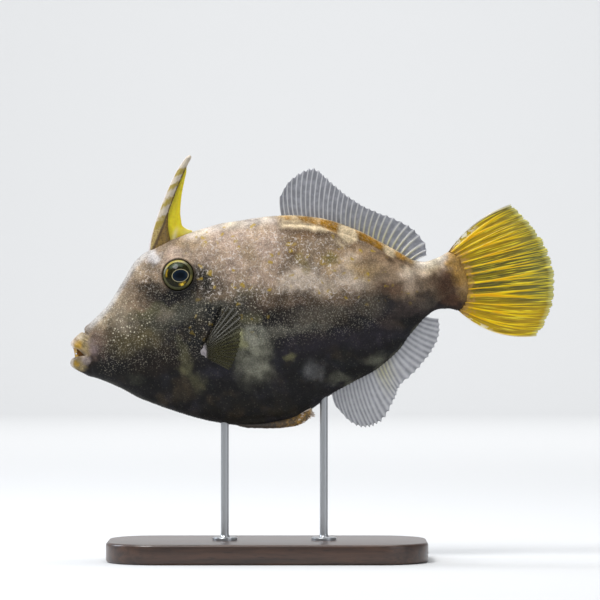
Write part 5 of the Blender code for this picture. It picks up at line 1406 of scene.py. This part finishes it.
def buildSpineWeb():
    bm, across, share, face = sheetGrid(26, 70)
    inner = readPath(spine["rear"], spine["webTop"] * (1 - share))
    outer = readPath(spine["webEdge"], share)
    inner[:, 0] -= 0.9
    inner[:, 1] -= spine["webSunk"] * ease(0.8, 1.0, share)
    outer[:, 1] -= spine["webSunk"] * ease(0.93, 1.0, share)
    flat = mix(inner, outer, across[:, None])
    fold = 0.5 * np.sin(across * math.pi) * ease(0.1, 0.5, share) * (1 - ease(0.85, 1.0, share))
    y = fold * np.sin(share * 5.0) + 0.25 * np.sin(across * 9 + share * 3) * across * (1 - across) * 2
    middle = np.stack((flat[:, 0], y, flat[:, 1]), axis=-1)
    pleat = 0.14 * np.exp(-(((across - 0.62 + 2.4 * (share - 0.75)) / 0.11) ** 2)) * ease(0.68, 0.9, share)
    half = spine["webHalf"] * (1 - 0.6 * across) + 0.35 * (1 - ease(0.0, 0.25, across)) + pleat
    laySheet(bm, face, middle, np.array((0, 1, 0)), half, np.stack((across, share, pleat / 0.14), axis=-1))
    return finishPiece("spine_web", bm, webMaterial(), ("spine_membrane",))


def webMaterial():
    # Spine web: soft wet skin of strong lemon yellow, whitish where it folds
    made, tree, shader = newMaterial("lemonWebSkin", {
        "Roughness": 0.4, "Coat Weight": 0.3, "Coat Roughness": 0.2, "Subsurface Weight": 0.1,
        "Subsurface Scale": 0.001,
    })
    place = fishPlace(tree)
    marks = pieceMarks(tree, "finMarks")
    cloud = addNode(tree, "TexNoise", {"Scale": 0.6, "Detail": 3.0}, {"Vector": place})
    base = addNode(
        tree, "Mix", {"data_type": "RGBA", 6: hexColour("#B8A70E"), 7: hexColour("#E0D31A")}, {0: cloud}
    )
    rootward = addNode(tree, "MapRange", {1: 0.66, 2: 0.9}, {0: (marks, 1)})
    inner = addNode(tree, "MapRange", {1: 0.35, 2: 0.1, 4: 0.7}, {0: (marks, 0)})
    brown = addNode(tree, "Math", {"operation": "MULTIPLY"}, {0: rootward, 1: inner})
    seam = addNode(tree, "MapRange", {1: 0.1, 2: 0.0, 4: 0.75}, {0: (marks, 0)})
    outward = addNode(tree, "MapRange", {1: 0.5, 2: 0.85, 4: 0.7}, {0: (marks, 0)})
    low = addNode(tree, "MapRange", {1: 0.74, 2: 0.9}, {0: (marks, 1)})
    pale = addNode(tree, "Math", {"operation": "MULTIPLY"}, {0: low, 1: outward})
    colour = layColours(tree, (base, 2), (
        (brown, "#7C6A1C"), (pale, "#DCD27A"), ((marks, 2), "#D2C68C"), (seam, "#6E5A14"),
    ))
    tree.links.new(colour[0].outputs[colour[1]], shader.inputs["Base Color"])
    bump = addNode(tree, "Bump", {"Strength": 0.3, "Distance": 0.0002}, {"Height": cloud})
    tree.links.new(bump.outputs[0], shader.inputs["Normal"])
    return made


buildSpine()
buildSpineWeb()
print("spine ready")

# Eyes: one wet globe a side, its iris and pupil drawn in the eye's own plane
def buildEye(name, side):
    axis, centre = eyeAxes(side)
    bm = bmesh.new()
    bmesh.ops.create_uvsphere(bm, u_segments=96, v_segments=64, radius=1.0)
    turn = np.array(Vector((0, 0, 1)).rotation_difference(Vector(axis)).to_matrix())
    sphere = vertexPlaces(bm)
    across = np.array((1.0, 0.0, 0.0)) - axis[0] * axis
    across /= np.linalg.norm(across)
    up = np.cross(axis, across)
    up *= np.sign(up[2])
    rel = (sphere * (1, 1, 0)) @ turn.T
    depth = sphere[:, 2] + 0.05 * np.exp(
        -((np.hypot(sphere[:, 0], sphere[:, 1]) / 0.42) ** 2)
    ) * (sphere[:, 2] > 0)
    places = centre + rel * eye["radius"] + axis * (depth * eye["depth"])[:, None]
    moveVertices(bm, places)
    flat = rel * eye["radius"]
    setLayer(bm, "eyeMap", np.stack((flat @ across, flat @ up, 0 * depth), axis=-1))
    bmesh.ops.recalc_face_normals(bm, faces=bm.faces[:])
    return finishPiece(name, bm, eyeMaterial(), (name.replace("globe", "eye"),))


def eyeMaterial():
    # Eye: glassy wet cornea over an olive-black iris with gold flecks, a thin pale ring and a blue-black
    # pupil, with a painted gold glint low down and a painted pale sheen on top of the outer ring
    if "wetFishEye" in bpy.data.materials:
        return bpy.data.materials["wetFishEye"]
    look = {
        "iris": "#15140C", "olive": "#2C2B12", "gold": "#8F7620", "paleGold": "#9C8F48", "outer": "#4B4A30",
        "glint": "#E6C23C", "greyGreen": "#4C5644",
        "rim": "#1D1B13", "ring": "#B7AD86", "pupil": "#070B10", "blue": "#121E2B",
        "irisTo": 5.0, "outerTo": 6.25,
    }
    made, tree, shader = newMaterial("wetFishEye", {
        "Roughness": 0.16, "IOR": 1.34, "Specular IOR Level": 0.2, "Coat Weight": 0.05,
        "Coat Roughness": 0.05,
    })
    spot = (addNode(tree, "Attribute", {"attribute_name": "eyeMap"}), "Vector")
    reach = (addNode(tree, "VectorMath", {"operation": "LENGTH"}, {0: spot}), "Value")
    fromPupil = addNode(tree, "VectorMath", {"operation": "SUBTRACT", 1: (*eye["pupilAt"], 0.0)}, {0: spot})
    squashed = addNode(tree, "VectorMath", {
        "operation": "MULTIPLY", 1: (1 / eye["pupil"][0], 1 / eye["pupil"][1], 1.0)}, {0: fromPupil})
    pupil = (addNode(tree, "VectorMath", {"operation": "LENGTH"}, {0: squashed}), "Value")
    parted = addNode(tree, "SeparateXYZ", None, {0: spot})
    angle = addNode(tree, "Math", {"operation": "ARCTAN2"}, {0: (parted, 1), 1: (parted, 0)})
    streakAt = addNode(tree, "CombineXYZ", None, {0: angle, 1: reach})
    stretched = addNode(tree, "Mapping", {"Scale": (6.0, 1.2, 1.0)}, {0: streakAt})
    streaks = addNode(
        tree, "TexNoise", {"Scale": 1.0, "Detail": 4.0, "Roughness": 0.65}, {"Vector": stretched}
    )
    olive = addNode(tree, "MapRange", {1: 0.4, 2: 0.7}, {0: streaks})
    base = (
        addNode(
            tree, "Mix", {"data_type": "RGBA", 6: hexColour(look["iris"]), 7: hexColour(look["olive"])},
            {0: olive}
        ), 2
    )
    # gold crescents: between two reaches, fading away from one direction, which is given in turns from the
    # rear; the narrow glint low down is a painted glint, and the broad pale-gold crescent on top of the
    # outer ring a painted sheen
    crescents = (
        (3.2, 4.6, 0.25, 0.14, 0.6, "greyGreen"), (4.1, 4.9, 0.45, 0.07, 0.85, "gold"),
        (3.7, 4.7, -0.2, 0.07, 0.8, "gold"), (4.0, 4.9, -0.21, 0.028, 1.0, "glint"),
        (5.0, 6.0, 0.27, 0.15, 0.8, "paleGold"), (5.0, 5.8, -0.1, 0.08, 0.5, "paleGold"),
    )
    layers = []
    for low, high, at, wide, strength, tint in crescents:
        middle = (low + high) / 2
        away = addNode(tree, "Math", {"operation": "SUBTRACT", 1: middle}, {0: reach})
        away = addNode(tree, "Math", {"operation": "ABSOLUTE"}, {0: away})
        band = addNode(tree, "MapRange", {
            "interpolation_type": "SMOOTHSTEP", 1: (high - low) / 2 + 0.15, 2: (high - low) / 2 - 0.2,
            4: strength,
        }, {0: away})
        turned = addNode(tree, "Mapping", {"Rotation": (0, 0, -2 * math.pi * at)}, {0: spot})
        toward = addNode(tree, "VectorMath", {"operation": "NORMALIZE"}, {0: turned})
        facing = addNode(tree, "SeparateXYZ", None, {0: toward})
        fade = addNode(tree, "MapRange", {
            "interpolation_type": "SMOOTHSTEP", 1: math.cos(2 * math.pi * wide),
            2: math.cos(math.pi * wide),
        }, {0: facing})
        share = addNode(tree, "Math", {"operation": "MULTIPLY"}, {0: band, 1: fade})
        layers.append((share, look[tint]))
    outer = addNode(tree, "MapRange", {
        "interpolation_type": "SMOOTHSTEP", 1: look["irisTo"] - 0.1, 2: look["irisTo"] + 0.15}, {0: reach})
    edge = addNode(tree, "MapRange", {
        "interpolation_type": "SMOOTHSTEP", 1: look["outerTo"] - 0.45, 2: look["outerTo"]}, {0: reach})
    ring = addNode(
        tree, "MapRange", {"interpolation_type": "SMOOTHSTEP", 1: 1.13, 2: 1.08, 4: 0.8}, {0: pupil}
    )
    hole = addNode(tree, "MapRange", {"interpolation_type": "SMOOTHSTEP", 1: 1.05, 2: 1.0}, {0: pupil})
    deep = addNode(
        tree, "MapRange", {"interpolation_type": "SMOOTHSTEP", 1: 0.95, 2: 0.3, 4: 0.8}, {0: pupil}
    )
    colour = layColours(tree, base, (
        (outer, look["outer"]), *layers, (edge, look["rim"]), (ring, look["ring"]), (hole, look["blue"]),
        (deep, look["pupil"]),
    ))
    tree.links.new(colour[0].outputs[colour[1]], shader.inputs["Base Color"])
    return made


# Teeth: six incisors a jaw on a low gum, close behind the lips
teeth = {
    "perJaw": 6, "frontX": 2.0, "bow": 2.5, "bowAngle": 62.0, "heights": (2.8, 1.5), "foot": 0.1,
    "half": (0.48, 0.26), "gumHigh": 0.5, "gumHalf": 0.42,
}


def toothBow(share, out, drop, upper):
    angle = math.radians(teeth["bowAngle"]) * (2 * share - 1)
    x = teeth["frontX"] + teeth["bow"] - (teeth["bow"] + out) * math.cos(angle)
    y = (teeth["bow"] + out) * math.sin(angle)
    z = float(gapeZ(x, upper)) + (-drop if upper else drop)
    return Vector((x, y, z)), angle


def buildTeeth(name, upper):
    bm = bmesh.new()
    way = -1 if upper else 1
    for i in range(teeth["perJaw"]):
        share = (i + 0.5) / teeth["perJaw"]
        high = teeth["heights"][0 if upper else 1] * (1 - 0.5 * abs(2 * share - 1))
        wide, thick = teeth["half"]
        made = bmesh.ops.create_cube(bm, size=1.0)["verts"]
        for vert in made:
            tip = vert.co.z * way > 0
            vert.co.x *= 2 * thick * (0.45 if tip else 1.0)
            vert.co.y *= 2 * wide * (0.92 if tip else 0.95)
        bmesh.ops.scale(bm, vec=(1, 1, high + 0.3), verts=made)
        rounded = list({e for v in made for e in v.link_edges})
        bent = bmesh.ops.bevel(
            bm, geom=rounded, offset=0.13, segments=3, profile=0.5, affect="EDGES", material=-1,
        )["verts"]
        made = list({v for v in bent} | {v for v in made if v.is_valid})
        foot, angle = toothBow(share, 0.0, teeth["foot"], upper)
        bmesh.ops.rotate(bm, cent=(0, 0, 0), matrix=Matrix.Rotation(-angle, 3, "Z"), verts=made)
        bmesh.ops.translate(bm, vec=foot + Vector((0, 0, way * high / 2)), verts=made)
    gum = bmesh.ops.create_uvsphere(bm, u_segments=48, v_segments=16, radius=1.0)["verts"]
    for vert in gum:  # the round bar of the gum, bent along the bow
        share = 0.5 + 0.52 * vert.co.x
        thin = math.sqrt(max(0.0, 1 - vert.co.x ** 6))
        level, angle = toothBow(share, vert.co.y * teeth["gumHalf"] * thin, 0.0, upper)
        vert.co = level + Vector((0, 0, vert.co.z * teeth["gumHigh"] * thin))
    bmesh.ops.recalc_face_normals(bm, faces=bm.faces[:])
    return finishPiece(
        name.replace("teeth", "incisors"), bm, toothMaterial(), (name,), sharpOver=60
    )


def toothMaterial():
    # Fish enamel: brown-gold at the gum and paler at the worn edge, hard and glossy
    if "brownGoldEnamel" in bpy.data.materials:
        return bpy.data.materials["brownGoldEnamel"]
    made, tree, shader = newMaterial("brownGoldEnamel", {"Roughness": 0.24, "IOR": 1.6, "Coat Weight": 0.3})
    place = fishPlace(tree)
    cloud = addNode(tree, "TexNoise", {"Scale": 1.4, "Detail": 3.0}, {"Vector": place})
    level = addNode(tree, "SeparateXYZ", None, {0: place})
    worn = addNode(tree, "MapRange", {1: 2.6, 2: 0.6}, {0: (level, 2)})
    base = addNode(
        tree, "Mix", {"data_type": "RGBA", 6: hexColour("#7A4E10"), 7: hexColour("#B4871F")}, {0: cloud}
    )
    colour = layColours(tree, (base, 2), ((worn, "#B8923A"),))
    tree.links.new(colour[0].outputs[colour[1]], shader.inputs["Base Color"])
    return made


buildEye("globe_left", -1)
buildEye("globe_right", 1)
buildTeeth("teeth_upper", True)
buildTeeth("teeth_lower", False)
print("eyes and teeth ready")

# Pelvic flap: the rough end of the pelvis along the belly, with blunt barbs at its rear
pelvis = {
    "stations": (  # x, z of the middle, half height, half width
        (60.5, -38.4, 0.7, 0.5), (64.0, -39.5, 1.3, 1.5), (70.0, -40.4, 1.7, 1.9), (77.0, -41.2, 2.1, 2.1),
        (83.0, -41.1, 2.6, 2.2), (87.5, -40.0, 2.9, 2.1), (90.3, -38.8, 2.4, 1.7), (91.6, -38.2, 1.3, 0.9),
    ),
    "rings": 80, "around": 36, "seed": 29, "knobs": 40, "knobFrom": 84.5, "knobLength": (0.7, 1.9),
    "knobRadius": 0.42,
}


def buildPelvis():
    bm, share, turn = tubeGrid(pelvis["rings"], pelvis["around"])
    rows = readPath(pelvis["stations"], share)
    x, z, high, wide = rows.T
    places = np.stack((x, wide * np.sin(turn), z + high * np.cos(turn)), axis=-1)
    ruffle = 0.16 * noiseAt(places, 0.7, 4.0) + 0.1 * noiseAt(places, 1.9, 8.0)
    places[:, 1] += ruffle * np.sin(turn)
    places[:, 2] += ruffle * np.cos(turn)
    moveVertices(bm, places)
    setLayer(bm, "pelvisMarks", np.stack((share, 0 * share, 0 * share), axis=-1))
    closeUp(bm)
    layer = bm.verts.layers.float_vector["pelvisMarks"]
    dice = np.random.default_rng(pelvis["seed"])
    for _ in range(pelvis["knobs"]):
        along = dice.uniform(0, 1) ** 0.7
        atX = mix(pelvis["knobFrom"], 91.0, along)
        angle = dice.uniform(0.15, 1.0) * math.pi * dice.choice((-1, 1))
        _, z, high, wide = [float(readCurve(pelvis["stations"], np.array([atX]), k)[0]) for k in range(4)]
        out = Vector((0, math.sin(angle), math.cos(angle)))
        root = Vector((atX, 0.86 * wide * out.y, z + 0.86 * high * out.z))
        lean = (out * mix(0.7, 0.35, along) + Vector((mix(0.8, 1.0, along), 0, 0))).normalized()
        long = mix(*pelvis["knobLength"], along) * dice.uniform(0.7, 1.1)
        made = bmesh.ops.create_cone(
            bm, cap_ends=True, segments=8, radius1=pelvis["knobRadius"] * dice.uniform(0.8, 1.25),
            radius2=0.2,
            depth=long,
        )["verts"]
        bmesh.ops.translate(bm, vec=(0, 0, long * 0.38), verts=made)
        bmesh.ops.rotate(
            bm, cent=(0, 0, 0), matrix=Vector((0, 0, 1)).rotation_difference(lean).to_matrix(), verts=made)
        bmesh.ops.translate(bm, vec=root, verts=made)
        for vert in made:
            vert[layer] = (1.0, 1.0, 0.0)
    return finishPiece("pelvic_end", bm, pelvisMaterial(), ("pelvic_flap",))


def pelvisMaterial():
    # Pelvic skin: thick and coarse, black-brown in front, tan and gold on the worn rear barbs
    made, tree, shader = newMaterial(
        "coarsePelvicSkin", {"Roughness": 0.55, "Coat Weight": 0.15, "Coat Roughness": 0.3}
    )
    place = fishPlace(tree)
    marks = pieceMarks(tree, "pelvisMarks")
    cloud = addNode(tree, "TexNoise", {"Scale": 0.6, "Detail": 4.0}, {"Vector": place})
    rear = addNode(tree, "MapRange", {"interpolation_type": "SMOOTHSTEP", 1: 0.3, 2: 0.75}, {0: (marks, 0)})
    patch = addNode(tree, "MapRange", {1: 0.4, 2: 0.62}, {0: cloud})
    gold = addNode(tree, "Math", {"operation": "MULTIPLY"}, {0: rear, 1: patch})
    tip = addNode(tree, "MapRange", {1: 0.86, 2: 0.97, 4: 0.8}, {0: (marks, 0)})
    knob = addNode(tree, "Math", {"operation": "MULTIPLY", 1: 0.85}, {0: (marks, 1)})
    grains = addNode(tree, "TexVoronoi", {"Scale": 1.7}, {"Vector": place})
    gap = addNode(tree, "MapRange", {1: 0.35, 2: 0.7, 4: 0.5}, {0: grains})
    base = addNode(
        tree, "Mix", {"data_type": "RGBA", 6: hexColour("#3A3026"), 7: hexColour("#66502E")}, {0: rear}
    )
    colour = layColours(
        tree, (base, 2), ((gold, "#B88C3C"), (gap, "#1D1712"), (tip, "#CBBBA6"), (knob, "#CFC0B2"))
    )
    tree.links.new(colour[0].outputs[colour[1]], shader.inputs["Base Color"])
    bump = addNode(
        tree, "Bump", {"Strength": 0.6, "Distance": 0.0003, "Filter Width": 0.5}, {"Height": gap}
    )
    bump.invert = True
    tree.links.new(bump.outputs[0], shader.inputs["Normal"])
    return made


buildPelvis()
print("pelvic flap ready")

# Stand, in millimetres of the world: a flat wooden base and two slim rods under the belly
stand = {
    "base": (128.0, 62.0, 8.0), "baseX": -18.0, "corner": 20.0, "edge": 1.2,
    "rods": {"stand_rod_front": -35.0, "stand_rod_rear": 4.6},
    "rod": 1.6, "foot": 5.0, "footHigh": 2.0, "fillet": 0.8, "footEdge": 0.4, "bottom": 8.0,
    "intoBelly": 1.5,
}
fromMillimetres = Matrix.Scale(0.001, 4)


def buildBase():
    long, wide, high = stand["base"]
    bm = bmesh.new()
    bmesh.ops.create_cube(bm, size=1.0)
    bmesh.ops.scale(bm, vec=(long, wide, high), verts=bm.verts[:])
    bmesh.ops.translate(bm, vec=(stand["baseX"], 0, high / 2), verts=bm.verts[:])
    corners = [e for e in bm.edges if abs(e.verts[0].co.z - e.verts[1].co.z) > high / 2]
    bmesh.ops.bevel(
        bm, geom=corners, offset=stand["corner"], segments=32, profile=0.5, affect="EDGES", material=-1)
    rims = [e for e in bm.edges if {round(abs(f.normal.z)) for f in e.link_faces} == {0, 1}]
    bmesh.ops.bevel(
        bm, geom=rims, offset=stand["edge"], segments=5, profile=0.5, affect="EDGES", material=-1
    )
    return finishPiece("wooden_base", bm, woodMaterial(), ("stand_base",), fromMillimetres, 40)


def woodMaterial():
    # Dark stained beech: fine long grain and short flecks under a satin lacquer
    look = {"dark": "#2A1A12", "light": "#4E3425", "pore": "#160D09", "grainPitch": 2.6, "fleck": 1.1}
    made, tree, shader = newMaterial(
        "stainedBeech", {"Coat Weight": 0.5, "Coat Roughness": 0.22, "IOR": 1.5}
    )
    place = addNode(tree, "TexCoord")
    pitch = 1000 / look["grainPitch"]
    boards = addNode(tree, "Mapping", {"Scale": (1000 / 34, pitch, pitch)}, {0: (place, "Object")})
    grain = addNode(
        tree, "TexNoise", {"Scale": 1.0, "Detail": 5.0, "Roughness": 0.6, "Distortion": 0.4},
        {"Vector": boards}
    )
    fleck = 1000 / look["fleck"] * 1.6
    flecks = addNode(tree, "Mapping", {"Scale": (1000 / 6, fleck, fleck)}, {0: (place, "Object")})
    pores = addNode(tree, "TexNoise", {"Scale": 1.0, "Detail": 2.0}, {"Vector": flecks})
    pore = addNode(tree, "MapRange", {1: 0.6, 2: 0.72, 4: 0.6}, {0: pores})
    shade = addNode(tree, "MapRange", {1: 0.32, 2: 0.68}, {0: grain})
    base = addNode(
        tree, "Mix", {"data_type": "RGBA", 6: hexColour(look["dark"]), 7: hexColour(look["light"])},
        {0: shade}
    )
    colour = layColours(tree, (base, 2), ((pore, look["pore"]),))
    tree.links.new(colour[0].outputs[colour[1]], shader.inputs["Base Color"])
    rough = addNode(tree, "MapRange", {3: 0.34, 4: 0.48}, {0: grain})
    tree.links.new(rough.outputs[0], shader.inputs["Roughness"])
    bump = addNode(tree, "Bump", {"Strength": 0.2, "Distance": 0.0001}, {"Height": pores})
    tree.links.new(bump.outputs[0], shader.inputs["Normal"])
    return made


def bellyAbove(worldX):  # height of the belly's keel above the floor
    x = np.linspace(20, 140, 961)
    keel = np.stack((x, 0 * x, bellyLine(x), 1 + 0 * x)) * np.array([[1], [1], [1], [1]])
    world = np.array(fishToWorld) @ keel * 1000
    return float(np.interp(worldX, world[0], world[2]))


def buildRod(name, x):
    low = stand["bottom"]
    shoulder, top = low + stand["footHigh"], bellyAbove(x) + stand["intoBelly"]
    edge, fillet, rod = stand["footEdge"], stand["fillet"], stand["rod"]
    line = [(0, low), (stand["foot"], low), (stand["foot"], shoulder - edge - fillet)]
    for i in range(1, 7):
        angle = math.pi / 2 * i / 6
        line.append(
            (
                stand["foot"] - edge + edge * math.cos(angle),
                shoulder - fillet - edge + edge * math.sin(angle)
            )
        )
    for i in range(7):
        angle = math.pi / 2 * i / 6
        line.append(
            (rod + fillet * (1 - math.sin(angle)), shoulder - fillet + 2 * fillet * (1 - math.cos(angle)))
        )
    line += [(rod, top), (0, top)]
    bm = bmesh.new()
    verts = [bm.verts.new((radius, 0, height)) for radius, height in line]
    edges = [bm.edges.new(pair) for pair in zip(verts, verts[1:])]
    bmesh.ops.spin(
        bm, geom=verts + edges, cent=(0, 0, 0), axis=(0, 0, 1), angle=2 * math.pi, steps=48, use_merge=True)
    bmesh.ops.remove_doubles(bm, verts=bm.verts[:], dist=1e-4)
    bmesh.ops.recalc_face_normals(bm, faces=bm.faces[:])
    bmesh.ops.translate(bm, vec=(x, 0, 0), verts=bm.verts[:])
    return finishPiece(
        name.replace("stand_", "steel_"), bm, steelMaterial(), (name,), fromMillimetres, 40
    )


def steelMaterial():
    # Stainless rod, drawn and satin finished: fine rings of polish round it stretch its highlights
    if "satinStainless" in bpy.data.materials:
        return bpy.data.materials["satinStainless"]
    made, tree, shader = newMaterial(
        "satinStainless", {"Base Color": hexColour("#B9BBBD"), "Metallic": 1.0}
    )
    place = addNode(tree, "TexCoord")
    rings = addNode(tree, "Mapping", {"Scale": (60.0, 60.0, 5200.0)}, {0: (place, "Object")})
    polish = addNode(tree, "TexNoise", {"Scale": 1.0, "Detail": 2.0}, {"Vector": rings})
    rough = addNode(tree, "MapRange", {3: 0.24, 4: 0.38}, {0: polish})
    tree.links.new(rough.outputs[0], shader.inputs["Roughness"])
    bump = addNode(tree, "Bump", {"Strength": 0.12, "Distance": 0.00003}, {"Height": polish})
    tree.links.new(bump.outputs[0], shader.inputs["Normal"])
    return made


buildBase()
for rodName, rodX in stand["rods"].items():
    buildRod(rodName, rodX)
print("stand ready")

# Studio: pale sweep, soft lamps, long lens at the fish's own height
studio = {
    "middle": (-0.00494, 0.0, 0.104), "distance": 1.5, "frame": 0.24,
    "floorColour": "#C9CACB", "floorFront": -3.0, "sweepFrom": 1.9, "sweepRadius": 0.6, "wallTop": 1.6,
    "half": 3.0,
}


def buildStudio():
    bm = bmesh.new()
    steps = 24
    line = [(studio["floorFront"], 0.0), (studio["sweepFrom"], 0.0)]
    for i in range(1, steps + 1):
        angle = math.pi / 2 * i / steps
        line.append((
            studio["sweepFrom"] + studio["sweepRadius"] * math.sin(angle),
            studio["sweepRadius"] * (1 - math.cos(angle)),
        ))
    line.append((line[-1][0], studio["wallTop"]))
    verts = [bm.verts.new((-studio["half"], y, z)) for y, z in line]
    edges = [bm.edges.new(pair) for pair in zip(verts, verts[1:])]
    far = bmesh.ops.extrude_edge_only(bm, edges=edges)
    moved = [g for g in far["geom"] if isinstance(g, bmesh.types.BMVert)]
    bmesh.ops.translate(bm, vec=(2 * studio["half"], 0, 0), verts=moved)
    bmesh.ops.recalc_face_normals(bm, faces=bm.faces[:])
    mesh = bpy.data.meshes.new("paleSweep")
    bm.to_mesh(mesh)
    bm.free()
    mesh.shade_smooth()
    sweep = bpy.data.objects.new("paleSweep", mesh)
    bpy.context.scene.collection.objects.link(sweep)
    paper, _, _ = newMaterial(
        "matteBackdropPaper", {"Base Color": hexColour(studio["floorColour"]), "Roughness": 0.9}
    )
    mesh.materials.append(paper)


def addLamp(name, at, aim, size, watts, colour="#FFFFFF"):
    lamp = bpy.data.lights.new(name, "AREA")
    lamp.shape = "RECTANGLE"
    lamp.size, lamp.size_y = size
    lamp.energy = watts
    lamp.color = hexColour(colour)[:3]
    made = bpy.data.objects.new(name, lamp)
    made.location = at
    made.rotation_euler = (Vector(aim) - Vector(at)).to_track_quat("-Z", "Y").to_euler()
    bpy.context.scene.collection.objects.link(made)


def lightStudio():
    aim = studio["middle"]
    addLamp("keySoftbox", (-0.45, -0.5, 1.05), aim, (0.45, 0.45), 11.0)
    addLamp("fillSoftbox", (0.9, -0.9, 0.45), aim, (0.7, 0.7), 2.0, "#F2F6FF")
    addLamp("topSoftbox", (0.0, 0.12, 0.9), aim, (0.8, 0.4), 7.0)
    addLamp("edgeSoftbox", (-0.85, 0.25, 0.5), (-0.08, 0.0, 0.1), (0.35, 0.5), 4.0, "#EAF2FF")
    addLamp("sweepSoftbox", (0.0, 1.1, 1.3), (0.0, 2.3, 0.15), (2.0, 0.4), 31.0)
    world = bpy.data.worlds.new("studioAir")
    world.use_nodes = True
    sky = world.node_tree.nodes["Background"]
    sky.inputs["Color"].default_value = hexColour("#D9DCE0")
    sky.inputs["Strength"].default_value = 0.35
    bpy.context.scene.world = world
    bpy.context.scene.view_settings.view_transform = "Standard"


def placeCamera():
    lens = bpy.data.cameras.new("photoCamera")
    lens.sensor_width = 36.0
    lens.lens = 36.0 * studio["distance"] / studio["frame"]
    lens.clip_start, lens.clip_end = 0.05, 10.0
    made = bpy.data.objects.new("photoCamera", lens)
    x, _, z = studio["middle"]
    made.location = (x, -studio["distance"], z)
    made.rotation_euler = (math.pi / 2, 0, 0)
    bpy.context.scene.collection.objects.link(made)
    bpy.context.scene.camera = made


buildStudio()
lightStudio()
placeCamera()
print("studio ready")
